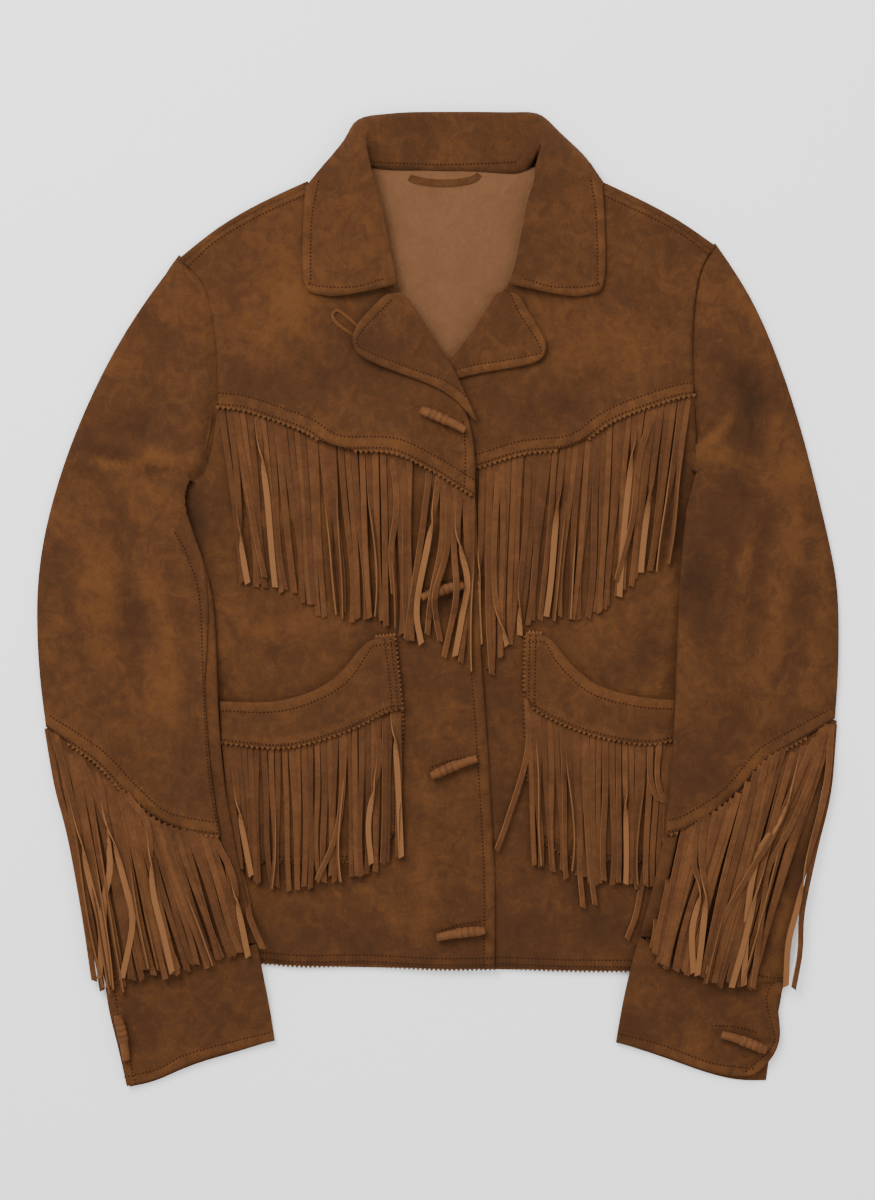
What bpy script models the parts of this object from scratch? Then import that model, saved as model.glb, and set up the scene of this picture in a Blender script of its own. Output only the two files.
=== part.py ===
"""Fringed suede jacket, laid flat on its back with its front up and closed.

X runs to the right of someone looking down on it, Y towards the collar and Z up from the surface.
Each cut piece is a sheet between four edge curves. It is laid in the order the jacket is put together,
on the pieces already under it, and is then given its thickness.
Outlines and heights are in millimetres until a sheet is made, and Blender's metres from then on.
"""

import math

import bmesh
import bpy
import numpy as np

MM = 0.001                # one millimetre in metres
SUEDE = 1.2               # thickness of one layer of suede
DOUBLED = 1.8             # collar and lapels, two thin layers glued and stitched
AIR = 0.4                 # air between a piece and what it lies on
LOFT = 2.0                # extra room inside the body, between fronts and back
FOLD = 1.8                # radius of a soft fold, to the middle of the wall
PUFF = 1.2                # how much more a sleeve's upper side rises in its middle
SHOULDER_WRAP = 4.4       # how far the back comes over the shoulder to the front
SLEEVE_WRAP = 8.0         # how far the under sleeve comes over the inner edge
SLEEVE_TUCK = 4.4         # how far the upper sleeve goes under at the outer edge
SEAM = 0.6                # air across a seam
UNDERARM = 50.0           # how far below the underarm the inner fold is fully open
UNDERARM_FAN = 1.7        # how closely a sleeve's rows gather at the underarm
SIDE_REACH = 150.0        # how far the room inside the body reaches to its sides
TOGGLE_RADIUS = 3.9       # rolled-leather toggles
CELL = 2.0                # step of the height maps
REACH = 26.0              # how far a step in the pieces below lifts a sheet
FIELD_X = 320.0           # half width of the height maps
FIELD_Y = 386.0           # half length of the height maps

SUEDE_BROWN = (0.125, 0.045, 0.014, 1.0)
FRINGE_BROWN = (0.130, 0.052, 0.019, 1.0)
LEATHER_BROWN = (0.120, 0.048, 0.016, 1.0)

# Hem and centre edge. The left front laps over the right one.
HEM_L = ((-160, -272), (-133, -273), (-101, -275.5), (-55, -275), (0, -277.5), (42.5, -277))
HEM_R = ((15, -276), (45, -276.5), (90, -278.5), (143, -279), (182, -278))
HEM_BACK = ((-160, -272), (-100, -275.5), (0, -277.5), (90, -278.5), (182, -278))
CENTRE_L = ((42.5, -277), (42.5, -203), (36, -93), (31.5, -30), (29.3, 50), (28.5, 92))
CENTRE_R = ((15, -276), (14, -203), (8, -93), (3, -30), (1, 50), (1, 104))

# Side seams run up to the underarm corners, and the armholes from there to the shoulder tips.
SIDE_L = ((-160, -272), (-169, -160), (-176, -60), (-184, 30), (-187, 76))
SIDE_R = ((182, -278), (188, -160), (191, -60), (193.5, 40), (193, 96))
ARMHOLE_LOW_L = ((-186.5, 84), (-181, 91.5), (-173.5, 99), (-168.5, 119), (-165.5, 155))
ARMHOLE_LOW_R = ((194, 103), (195, 112), (194.2, 125), (193, 145), (192, 167))
ARMHOLE_HIGH_L = ((-165.3, 145), (-166, 183), (-169, 212), (-175, 237), (-187.5, 253))
ARMHOLE_HIGH_R = ((192, 154), (191, 191), (193, 225), (196, 245), (202.5, 262))

# Chest: the pinked lower edges of the yokes, and the shoulder folds.
PINKED_YOKE_L = ((-165.3, 145), (-147, 143), (-131, 138), (-101, 127), (-76, 113), (-35, 111), (-8, 99),
                 (9, 89), (27.5, 77))
PINKED_YOKE_R = ((1, 92), (31, 100), (64, 110), (102, 115), (132.5, 135), (173.5, 150), (192, 154))
YOKE_INNER_L = ((27.5, 77), (28.6, 110), (27, 134), (17.5, 154), (6, 178), (-11, 204), (-20, 217),
                (-31, 232), (-46, 252), (-55, 272), (-60, 300), (-61, 325))
YOKE_INNER_R = ((1, 92), (1, 140), (11, 179), (28, 201), (39, 217), (48, 232), (62, 250), (76, 272),
                (84, 300), (85, 325))
SHOULDER_L = ((-194, 257), (-173, 276), (-139, 296), (-97, 315), (-62, 329))
SHOULDER_R = ((86, 329), (121.5, 315), (168.5, 293), (190, 280.5), (208, 266.5))
BACK_NECK = ((-62, 329), (-44, 326.5), (12, 324), (68, 326.5), (86, 329))
TUCK = 12.0               # how far a front reaches up under its yoke
STRIP_TUCK = 5.0          # how far a fringe strip reaches up under what covers it

CHEST_TIPS_L = ((-149, 16), (-120, 8), (-101, 1), (-82, -12), (-42, -16), (-13, -33), (7, -43), (24, -52))
CHEST_TIPS_R = ((39, -53), (59, -27), (77, -15), (112, -13), (139, 6), (152, 19), (174, 23))
CHEST_ENDS_L = (((-149, 16), (-158, 80)), ((24, -52), (25.5, 20)))
CHEST_ENDS_R = (((39, -53), (34, 30)), ((174, 23), (184, 90)))

# Lapels: the outer edge and the line they roll along.
LAPEL_EDGE_L = ((27, 134), (19, 145), (3, 158), (-24, 168), (-55.5, 180.5), (-66, 188), (-66.5, 198),
                (-60, 208.5), (-40, 229))
LAPEL_ROLL_L = ((29, 134.5), (20.6, 154), (9, 178), (-8, 204), (-16.5, 217.5), (-26, 231))
LAPEL_EDGE_R = ((2, 163), (29, 170), (48, 173), (70, 177), (82, 181), (83.5, 190), (76, 204), (66.5, 218.5),
                (61, 231))
LAPEL_ROLL_R = ((-1, 165), (9, 180), (25, 201), (36, 217.5), (43.5, 231))

# Pockets: the curved upper edge, the pinked edge of the band, the foot and the fringe tips.
POCKET_TOP_L = ((-164, -76), (-125, -77), (-98, -70.5), (-74, -57), (-60, -38), (-53, -28.5), (-33, -26))
POCKET_PINKED_L = ((-163, -107), (-121, -111), (-91.5, -106), (-61, -95), (-40, -84), (-27, -81))
POCKET_FOOT_L = ((-166, -196), (-110, -197), (-70, -196.5), (-45, -189), (-30, -177))
POCKET_TIPS_L = ((-147, -204.5), (-125, -215.5), (-98, -214.5), (-61, -208), (-43, -199), (-30, -192))
POCKET_TOP_R = ((66, -24), (84, -26), (96, -44), (118.5, -64), (151.5, -73), (178, -75))
POCKET_PINKED_R = ((65, -77), (87, -90), (118.5, -102), (154.5, -108), (178, -105))
POCKET_FOOT_R = ((70, -172), (81, -183), (104, -194), (140, -196), (178, -196))
POCKET_TIPS_R = ((73, -195), (88, -203), (117, -211), (150, -215), (172, -211))

# Sleeves. Each edge runs from the armhole down; the pinked edges run from the outer to the inner edge.
INNER_EDGE_L = ((-176, 101), (-184.5, 93), (-190.5, 80), (-189, 61.5), (-178, 35), (-169, 2), (-165.5, -66),
                (-162, -125), (-154, -176), (-145, -220), (-136, -257))
OUTER_EDGE_L = ((-197, 255), (-223, 220.5), (-251, 174), (-280, 107), (-298, 41), (-302, -5), (-299, -66),
                (-292, -110), (-284, -150), (-270, -210), (-250, -289))
INNER_EDGE_R = ((197, 112), (194, 98), (189.5, 80), (184, 43), (180, -30), (176, -111), (170.6, -175.5),
                (156, -237), (151.5, -252))
OUTER_EDGE_R = ((211, 264), (239, 221), (268.5, 144), (292, 53), (301, 10), (301.5, -15), (300, -75),
                (293, -120), (284, -165), (273, -215), (261, -286))
PINKED_SLEEVE_L = ((-297, -96), (-259, -121), (-234, -147), (-208.5, -168), (-172.5, -176), (-154, -176))
PINKED_SLEEVE_R = ((300, -91), (267, -109), (247, -121), (222, -149), (190, -170), (170.6, -176))
SLEEVE_HEAD_L = ((-197, 255), (-184, 248), (-174, 226), (-169, 190), (-168.5, 150), (-171, 117), (-176, 101))
SLEEVE_HEAD_R = ((211, 264), (202, 250), (198, 228), (195, 190), (195, 150), (196, 125), (197, 112))
SLEEVE_TIPS_L = ((-257, -290), (-241, -293), (-221, -281), (-187, -277), (-147, -263), (-131, -260))
SLEEVE_TIPS_R = ((268, -293), (234.5, -292), (200, -286), (172, -275), (158, -262))
CUFF_SEAM_L = ((-250, -290), (-220, -280.5), (-175, -266.5), (-136, -257.5))
CUFF_SEAM_R = ((261, -287), (240, -284.5), (166, -263.5), (151.5, -252.5))

# Cuffs: the hem of the upper layer, of the layer under it, and the outer and inner ends.
CUFF_HEM_L = ((-234, -365), (-209, -359), (-190, -349), (-163, -341), (-123, -331))
CUFF_UNDER_HEM_L = ((-232, -366), (-209, -361), (-190, -351), (-163, -343), (-124, -333))
CUFF_OUTER_L = ((-250, -290), (-247, -312), (-241, -334), (-234, -365))
CUFF_UNDER_OUTER_L = ((-248, -291), (-245, -312), (-239, -334), (-232, -366))
CUFF_INNER_L = ((-136, -257.5), (-133, -274), (-128, -299), (-123, -331))
CUFF_HEM_R = ((236, -359), (207, -355), (186, -348), (164, -340), (134, -332.5))
CUFF_UNDER_HEM_R = ((247, -361), (232, -362), (207, -357), (164, -342), (135, -334.5))
CUFF_OUTER_R = ((261, -287), (253.5, -300), (258.5, -322), (259, -334), (251, -346), (236, -359))
CUFF_UNDER_OUTER_R = ((260, -288), (259, -300), (254, -318), (250, -340), (247, -361))
CUFF_INNER_R = ((151.5, -252.5), (143, -282), (139, -303), (134, -332.5))

# Collar sections, from the centre back round to the front end, for the left half.
# Each is a run of five places (x, y, z): neck seam, roll, crest, lie and free edge.
COLLAR_CENTRE_X = 12.0
COLLAR = (
    ((12, 323.4, 3.1), (12, 361, 8.5), (12, 366, 4.8), (12, 356, 0.9), (12, 280, 0.9)),
    ((-10, 323.8, 3.1), (-12, 361, 8.8), (-13, 366, 4.8), (-12, 356, 0.9), (-8, 281, 0.9)),
    ((-30, 325.8, 3.3), (-36, 360, 9.6), (-40, 365.5, 5.2), (-38, 356, 0.9), (-30, 285, 0.9)),
    ((-45, 329.4, 4.0), (-52, 352, 12.0), (-58, 357.5, 6.5), (-56, 350, 1.0), (-50, 292, 0.9)),
    ((-58, 335.0, 7.2), (-54, 342, 15.0), (-74, 345, 8.0), (-74, 340, 1.0), (-68, 300, 0.9)),
    ((-60, 329.0, 9.4), (-51.5, 332, 16.0), (-77, 337, 13.0), (-90, 329, 1.8), (-85, 314, 0.9)),
    ((-60.5, 325, 9.3), (-49.5, 324, 16.3), (-75, 329, 14.6), (-92.5, 327, 9.0), (-95, 323, 2.3)),
    ((-61, 322, 9.2), (-48, 318, 16.4), (-72, 321, 15.0), (-90, 324, 12.6), (-99.5, 322, 7.6)),
    ((-60, 309, 9.2), (-45.5, 306, 16.0), (-69, 307, 14.6), (-88, 307, 12.4), (-99.5, 306, 9.4)),
    ((-58, 288, 9.0), (-41.5, 287, 15.2), (-68, 287, 13.6), (-87, 287, 11.2), (-101, 288, 9.0)),
    ((-54, 266, 9.0), (-37.5, 266, 14.2), (-66, 266, 12.8), (-86, 266, 10.6), (-101.6, 266, 8.8)),
    ((-46, 248, 9.0), (-33.5, 248, 13.8), (-62, 247, 12.8), (-84, 246, 10.4), (-102, 246, 8.8)),
    ((-35, 237, 9.4), (-29, 237, 13.2), (-56, 231, 12.2), (-80, 227.5, 10.2), (-99, 231, 8.8)),
)
COLLAR_STEPS = (2, 3, 2, 3)     # sheet rows between the places of a section

# Where the back is lifted a little, over the part of the collar that folds behind it.
BEHIND_LOW = ((-118, 268), (12, 262), (142, 268))
BEHIND_HIGH = ((-112, 350), (12, 372), (136, 350))
BEHIND_AIR = 0.56

# Straps: middle line, then width.
HANGER_LOOP = ((-26, 320), (-14, 317), (7.5, 311), (24, 316), (34, 320))
LAPEL_LOOP = ((-58, 203), (-70, 207.5), (-79, 211.5))
HANGER_WIDTH = 5.0
LAPEL_LOOP_WIDTH = 8.0

# Toggles: the two ends, and the piece that each lies on.
TOGGLES = (
    ("toggle_1", (-13, 142), (20, 127), ("yoke_l", "lapel_l")),
    ("toggle_2", (-12, 2), (19, 11), ("front_l", "chest_fringe_l")),
    ("toggle_3", (-5, -132), (29, -119), ("front_l",)),
    ("toggle_4", (-0.6, -253), (35, -248), ("front_l",)),
    ("cuff_toggle_l", (-240.5, -312), (-234, -345), ("cuff_l",)),
    ("cuff_toggle_r", (213, -326), (246, -338), ("cuff_r",)),
)


def clear_scene():
    """Remove whatever the file opened with."""
    for old in list(bpy.data.objects):
        bpy.data.objects.remove(old, do_unlink=True)


def material(name, colour, roughness):
    """A plain Principled material."""
    made = bpy.data.materials.new(name)
    made.use_nodes = True
    shader = made.node_tree.nodes["Principled BSDF"]
    shader.inputs["Base Color"].default_value = colour
    shader.inputs["Roughness"].default_value = roughness
    return made


# --- Curves and sheets --------------------------------------------------------------------------------

def smooth(points, steps):
    """A smooth curve through the points, cut into equal steps."""
    knots = np.array(points, float)
    before = 2 * knots[0] - knots[1]
    after = 2 * knots[-1] - knots[-2]
    ends = np.vstack([before, knots, after])
    run = []
    t = np.linspace(0, 1, 24, endpoint=False)[:, None]
    for i in range(len(knots) - 1):
        a, b, c, d = ends[i:i + 4]
        slope_b = (c - a) / 2
        slope_c = (d - b) / 2
        run.append((2 * t**3 - 3 * t**2 + 1) * b + (t**3 - 2 * t**2 + t) * slope_b
                   + (3 * t**2 - 2 * t**3) * c + (t**3 - t**2) * slope_c)
    run = np.vstack(run + [knots[-1:]])
    return even(run, steps)


def even(run, steps, gather=1.0):
    """The same line with equal steps, or with shorter first steps for a gather above 1."""
    length = np.concatenate([[0], np.cumsum(np.linalg.norm(np.diff(run, axis=0), axis=1))])
    wanted = length[-1] * np.linspace(0, 1, steps + 1)**gather
    return np.stack([np.interp(wanted, length, run[:, k]) for k in range(run.shape[1])], axis=1)


def cornered(first, first_steps, second, second_steps):
    """Two smooth curves that meet in a corner."""
    return np.vstack([smooth(first, first_steps), smooth(second, second_steps)])


def shifted(run, distance):
    """The line moved sideways, to its left for a positive distance."""
    along = np.gradient(run, axis=0)
    along /= np.linalg.norm(along, axis=1)[:, None]
    return run + distance * np.stack([-along[:, 1], along[:, 0]], axis=1)


def cut_at(run, start, end):
    """The stretch of a line between the places nearest to two points."""
    first = np.argmin(np.linalg.norm(run - np.array(start, float), axis=1))
    last = np.argmin(np.linalg.norm(run - np.array(end, float), axis=1))
    return run[first:last + 1]


def panel(low, high, left, right):
    """A grid of places between four edges: low and high run left to right, left and right run up."""
    left = left.copy()
    right = right.copy()
    left[0], left[-1] = low[0], high[0]
    right[0], right[-1] = low[-1], high[-1]
    u = np.linspace(0, 1, len(low))[None, :, None]
    v = np.linspace(0, 1, len(left))[:, None, None]
    across = (1 - v) * low[None] + v * high[None]
    upward = (1 - u) * left[:, None] + u * right[:, None]
    corners = ((1 - u) * (1 - v) * low[0] + u * (1 - v) * low[-1]
               + (1 - u) * v * high[0] + u * v * high[-1])
    return across + upward - corners


def with_height(places, z):
    """Places in the plane joined with their heights."""
    return np.concatenate([places, np.broadcast_to(z, places.shape[:2])[..., None]], axis=2)


def turned_over(edge, inward, radius, wrap, up=-1.0, bends=3):
    """Rows that fold a sheet back over its edge: a half circle, then flat for wrap."""
    rows = []
    for k in range(1, bends + 1):
        angle = math.pi * k / bends
        rise = up * (1 - math.cos(angle)) * radius
        rows.append(edge - inward * np.expand_dims(math.sin(angle) * radius, -1) + stack_up(rise))
    rows.append(rows[-1] + inward * wrap)
    return rows


def stack_up(rise):
    """A rise as a set of places."""
    rise = np.asarray(rise, float)
    return np.stack([np.zeros_like(rise), np.zeros_like(rise), rise], axis=-1)


def inward_of(edge, next_row):
    """Level unit directions from an edge towards the sheet, square to the edge."""
    along = np.gradient(edge[:, :2], axis=0)
    along /= np.linalg.norm(along, axis=1)[:, None]
    square = np.stack([-along[:, 1], along[:, 0]], axis=1)
    side = np.sign(np.sum(square * (next_row[:, :2] - edge[:, :2]), axis=1))[:, None]
    return np.concatenate([square * side, np.zeros((len(edge), 1))], axis=1)


# --- Height maps --------------------------------------------------------------------------------------

COLUMNS = int(2 * FIELD_X / CELL) + 1
ROWS = int(2 * FIELD_Y / CELL) + 1
TOPS = {}                 # for each piece laid, the height of its upper face in each cell


def drawn(places, heights):
    """A map of a sheet's heights, and -1 where the sheet isn't."""
    drawing = np.full((ROWS, COLUMNS), -1.0)
    for j in range(places.shape[0] - 1):
        for i in range(places.shape[1] - 1):
            spots = (places[j, i], places[j, i + 1], places[j + 1, i + 1], places[j + 1, i])
            tall = (heights[j, i], heights[j, i + 1], heights[j + 1, i + 1], heights[j + 1, i])
            for a, b, c in ((0, 1, 2), (0, 2, 3)):
                draw_triangle(drawing, (spots[a], spots[b], spots[c]), (tall[a], tall[b], tall[c]))
    return drawing


def draw_triangle(drawing, spots, tall):
    """Draw one triangle's heights into a map, a little past its sides."""
    cells = (np.array(spots) + (FIELD_X, FIELD_Y)) / CELL
    low = np.maximum(np.floor(cells.min(axis=0)).astype(int) - 1, 0)
    high = np.ceil(cells.max(axis=0)).astype(int) + 2
    y, x = np.mgrid[low[1]:min(high[1], ROWS), low[0]:min(high[0], COLUMNS)]
    (ax, ay), (bx, by), (cx, cy) = cells
    area = (bx - ax) * (cy - ay) - (cx - ax) * (by - ay)
    if abs(area) < 1e-6:
        return
    wb = ((x - ax) * (cy - ay) - (cx - ax) * (y - ay)) / area
    wc = ((bx - ax) * (y - ay) - (x - ax) * (by - ay)) / area
    slack = 2.0 / max(math.sqrt(abs(area)), 1.0)
    inside = (wb > -slack) & (wc > -slack) & (wb + wc < 1 + slack)
    height = tall[0] + np.clip(wb, 0, 1) * (tall[1] - tall[0]) + np.clip(wc, 0, 1) * (tall[2] - tall[0])
    window = drawing[y[inside], x[inside]]
    drawing[y[inside], x[inside]] = np.maximum(window, height[inside])


def spread(values, reach, pick):
    """Each cell's largest value or mean within a square of the given reach."""
    cells = int(reach / CELL)
    for axis in (0, 1):
        padded = np.pad(values, [(cells, cells) if k == axis else (0, 0) for k in (0, 1)], mode="edge")
        length = values.shape[axis]
        slices = [padded.take(range(s, s + length), axis=axis) for s in range(2 * cells + 1)]
        values = np.max(slices, axis=0) if pick == "largest" else np.mean(slices, axis=0)
    return values


def floor_under(sheets, on, reach=REACH):
    """The smooth floor that sheets rest on: the surface, and the pieces named, where these lie under."""
    shape = np.max([drawn(places, np.ones(places.shape[:2])) for places in sheets], axis=0)
    tops = np.max([TOPS[name] for name in on], axis=0) if on else np.zeros((ROWS, COLUMNS))
    below = np.where(shape > 0, np.maximum(tops, 0), 0)
    high = spread(below, reach, "largest")
    high = np.where(high > 0, high + AIR, 0)
    return spread(high, reach * 0.3, "mean")


def height_at(floor, places):
    """The floor's height at each place."""
    x = np.clip((places[..., 0] + FIELD_X) / CELL, 0, COLUMNS - 1.001)
    y = np.clip((places[..., 1] + FIELD_Y) / CELL, 0, ROWS - 1.001)
    i = x.astype(int)
    j = y.astype(int)
    s = x - i
    t = y - j
    return ((1 - s) * (1 - t) * floor[j, i] + s * (1 - t) * floor[j, i + 1]
            + (1 - s) * t * floor[j + 1, i] + s * t * floor[j + 1, i + 1])


# --- Solids -------------------------------------------------------------------------------------------

def sheet(name, points, wall, finish, even_wall=True, missing=None):
    """A sheet of suede through a grid of places, given its thickness about its middle.

    The faces marked as missing are left out of the grid.
    """
    rows, columns = points.shape[:2]
    bm = bmesh.new()
    bmesh.ops.create_grid(bm, x_segments=columns - 1, y_segments=rows - 1, size=1.0)
    bm.verts.ensure_lookup_table()
    for vert, place in zip(bm.verts, points.reshape(-1, 3) * MM):
        vert.co = place
    if missing is not None:
        corners = {face: min(vert.index for vert in face.verts) for face in bm.faces}
        gone = [face for face, first in corners.items() if missing[divmod(first, columns)]]
        bmesh.ops.delete(bm, geom=gone, context="FACES")
    bmesh.ops.recalc_face_normals(bm, faces=bm.faces)
    mesh = bpy.data.meshes.new(name)
    bm.to_mesh(mesh)
    bm.free()
    made = bpy.data.objects.new(name, mesh)
    made.data.materials.append(finish)
    JACKET.objects.link(made)
    thicken = made.modifiers.new("thickness", "SOLIDIFY")
    thicken.thickness = wall * MM
    thicken.offset = 0.0
    thicken.use_even_offset = even_wall
    return made


def laid(name, places, on, finish, rise=0.0, wall=SUEDE, reach=REACH):
    """Lay a flat piece on others and keep its upper face for what comes over it."""
    z = height_at(floor_under([places], on, reach), places) + wall / 2 + rise
    TOPS[name] = drawn(places, z + wall / 2)
    return sheet(name, with_height(places, z), wall, finish)


def eased(t):
    """0 to 1 with a soft start and end."""
    t = np.clip(t, 0, 1)
    return t * t * (3 - 2 * t)


def keep_loft():
    """Room inside the body: full in the middle and at the shoulders, less at the side seams and hem."""
    y, x = np.mgrid[0:ROWS, 0:COLUMNS] * CELL
    x = x - FIELD_X
    y = y - FIELD_Y
    side = np.minimum(x + SIDE_REACH, SIDE_REACH + 2 * COLLAR_CENTRE_X - x) / 60
    TOPS["loft"] = TOPS["back"] + LOFT * eased(np.maximum(side, (y - 60) / 60)) * eased((y + 272) / 60)


def make_back():
    """Back: flat on the surface, with its shoulders wrapped forward."""
    low = smooth(HEM_BACK, 14)
    left = cornered(SIDE_L, 7, ARMHOLE_LOW_L + ARMHOLE_HIGH_L[1:] + (SHOULDER_L[0],), 5)
    right = cornered(SIDE_R, 7, ARMHOLE_LOW_R + ARMHOLE_HIGH_R[1:] + (SHOULDER_R[-1],), 5)
    high = np.vstack([smooth(SHOULDER_L, 4)[:-1], smooth(BACK_NECK, 6), smooth(SHOULDER_R, 4)[1:]])
    high = high - (0, FOLD)
    places = panel(low, high, left, right)
    z = height_at(floor_under([places], ("collar_behind",)), places) + SUEDE / 2
    TOPS["back"] = drawn(places, z + SUEDE / 2)
    points = with_height(places, z)
    edge = points[-1]
    rows = turned_over(edge, inward_of(edge, points[-2]), FOLD, SHOULDER_WRAP, up=1.0)
    wrapped = np.concatenate([points, np.array(rows)])
    neck = np.zeros((wrapped.shape[0] - 1, wrapped.shape[1] - 1), bool)
    neck[len(points) - 1:, 3:-3] = True
    return sheet("back", wrapped, SUEDE, SUEDE_FINISH, missing=neck)


def make_body():
    """Fronts, yokes, chest fringe, pockets and lapels, in the order they lie."""
    lifted = "front_r", "yoke_r", "lapel_r", "chest_fringe_r"
    for side in ("r", "l"):
        under = ("back", "loft") if side == "r" else ("back", "loft") + lifted
        make_front(side, under)
        make_pocket(side)
        make_chest(side, under)
        make_lapel(side)


def make_front(side, under):
    """A front, from its hem to where the yoke covers it."""
    if side == "l":
        low, left, right = smooth(HEM_L, 8), cornered(SIDE_L, 9, ARMHOLE_LOW_L, 3), smooth(CENTRE_L, 13)
        high = smooth(PINKED_YOKE_L, 8) + (0, TUCK)
    else:
        low, left, right = smooth(HEM_R, 8), smooth(CENTRE_R, 13), cornered(SIDE_R, 9, ARMHOLE_LOW_R, 3)
        high = smooth(PINKED_YOKE_R, 8) + (0, TUCK)
    places = panel(low, high, left, right)
    laid("front_" + side, places, under, SUEDE_FINISH)


def make_pocket(side):
    """A patch pocket, its fringe strip and its band."""
    tables = {"l": (POCKET_TOP_L, POCKET_PINKED_L, POCKET_FOOT_L, POCKET_TIPS_L),
              "r": (POCKET_TOP_R, POCKET_PINKED_R, POCKET_FOOT_R, POCKET_TIPS_R)}
    top, pinked, foot, tips = (smooth(rows, 7) for rows in tables[side])
    front = "front_" + side
    pouch, strip, band = (name + side for name in ("pocket_", "pocket_fringe_", "pocket_band_"))
    inset = top + (0, -5)
    body = panel(foot, inset, even(np.array([foot[0], pinked[0], inset[0]]), 5),
                 even(np.array([foot[-1], pinked[-1] + (1, 0), inset[-1]]), 5))
    laid(pouch, body, (front,), SUEDE_FINISH)
    head = pinked + (0, STRIP_TUCK)
    hang = panel(tips, head, even(np.array([tips[0], head[0]]), 4), even(np.array([tips[-1], head[-1]]), 4))
    laid(strip, hang, (front, pouch), FRINGE_FINISH)
    cover = panel(pinked, top, even(np.array([pinked[0], top[0]]), 2),
                  even(np.array([pinked[-1], top[-1]]), 2))
    laid(band, cover, (front, pouch, strip), SUEDE_FINISH)


def make_chest(side, under):
    """A chest fringe strip and the yoke over it."""
    tables = {"l": (PINKED_YOKE_L, CHEST_TIPS_L, CHEST_ENDS_L, SHOULDER_L),
              "r": (PINKED_YOKE_R, CHEST_TIPS_R, CHEST_ENDS_R, SHOULDER_R)}
    pinked_rows, tip_rows, ends, shoulder = tables[side]
    head = smooth([row for row in pinked_rows if row[0] > 5 or side == "l"], 8) + (0, STRIP_TUCK)
    if side == "r":
        head = head + (1.5, 0) * np.linspace(1, 0, 9)[:, None]
    tips = smooth(tip_rows, 8)
    first, last = ends
    hang = panel(tips, head, smooth(first + (tuple(head[0]),), 6), smooth(last + (tuple(head[-1]),), 6))
    front = "front_" + side
    strip = "chest_fringe_" + side
    laid(strip, hang, (front,), FRINGE_FINISH)
    pinked = smooth(pinked_rows, 8)
    seam = even(shifted(smooth(shoulder, 4), -(FOLD + SHOULDER_WRAP + SEAM)), 8)
    if side == "l":
        places = panel(pinked, seam, smooth(ARMHOLE_HIGH_L, 7), smooth(YOKE_INNER_L, 7))
    else:
        places = panel(pinked, seam, smooth(YOKE_INNER_R, 7), smooth(ARMHOLE_HIGH_R, 7))
    laid("yoke_" + side, places, under + (front, strip), SUEDE_FINISH)


def make_lapel(side):
    """A lapel lying on its yoke, rolled down along its inner edge."""
    edge, roll = (LAPEL_EDGE_L, LAPEL_ROLL_L) if side == "l" else (LAPEL_EDGE_R, LAPEL_ROLL_R)
    edge = smooth(edge, 9)
    roll = smooth(roll, 9)
    low = even(np.array([edge[0], roll[0]]), 3)
    high = even(np.array([edge[-1], roll[-1]]), 3)
    places = panel(low, high, edge, roll) if side == "l" else panel(low[::-1], high[::-1], roll, edge)
    on = ("yoke_r",) if side == "r" else ("yoke_l", "yoke_r", "lapel_r", "lapel_loop")
    if side == "l":
        make_strap("lapel_loop", LAPEL_LOOP, LAPEL_LOOP_WIDTH, ("yoke_l",), DOUBLED, 0.0)
    laid("lapel_" + side, places, on, SUEDE_FINISH, wall=DOUBLED)


def make_strap(name, route, width, on, wall, rise):
    """A narrow strap along a route."""
    middle = smooth(route, 6)
    places = np.stack([shifted(middle, -width / 2), middle, shifted(middle, width / 2)])
    laid(name, places, on, SUEDE_FINISH, wall=wall, rise=rise)


def collar_sections():
    """All collar sections round the neck, from the left front end to the right one."""
    half = np.array(COLLAR, float)
    mirrored = half.copy()
    mirrored[..., 0] = 2 * COLLAR_CENTRE_X - half[..., 0]
    return np.concatenate([half[::-1], mirrored[1:]])


def make_collar_behind():
    """Room kept under the back for the part of the collar that folds behind it."""
    low = smooth(BEHIND_LOW, 8)
    high = smooth(BEHIND_HIGH, 8)
    places = panel(low, high, even(np.array([low[0], high[0]]), 4), even(np.array([low[-1], high[-1]]), 4))
    TOPS["collar_behind"] = drawn(places, np.full(places.shape[:2], DOUBLED + BEHIND_AIR))


def make_collar():
    """Collar: a stand and a fall in one, round the neck from front to front."""
    sections = collar_sections()
    rows = []
    for section in sections:
        path = smooth(section, 24 * 4)
        marks = [np.argmin(np.linalg.norm(path - place, axis=1)) for place in section]
        row = []
        for k, steps in enumerate(COLLAR_STEPS):
            stretch = path[marks[k]:marks[k + 1] + 1] if k < len(COLLAR_STEPS) - 1 else section[k:]
            row.extend(even(stretch, steps)[:-1])
        row.append(section[-1])
        rows.append(row)
    points = np.array(rows)
    points[..., 2] = np.maximum(points[..., 2], DOUBLED / 2)
    return sheet("collar", points, DOUBLED, SUEDE_FINISH, even_wall=False)


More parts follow.
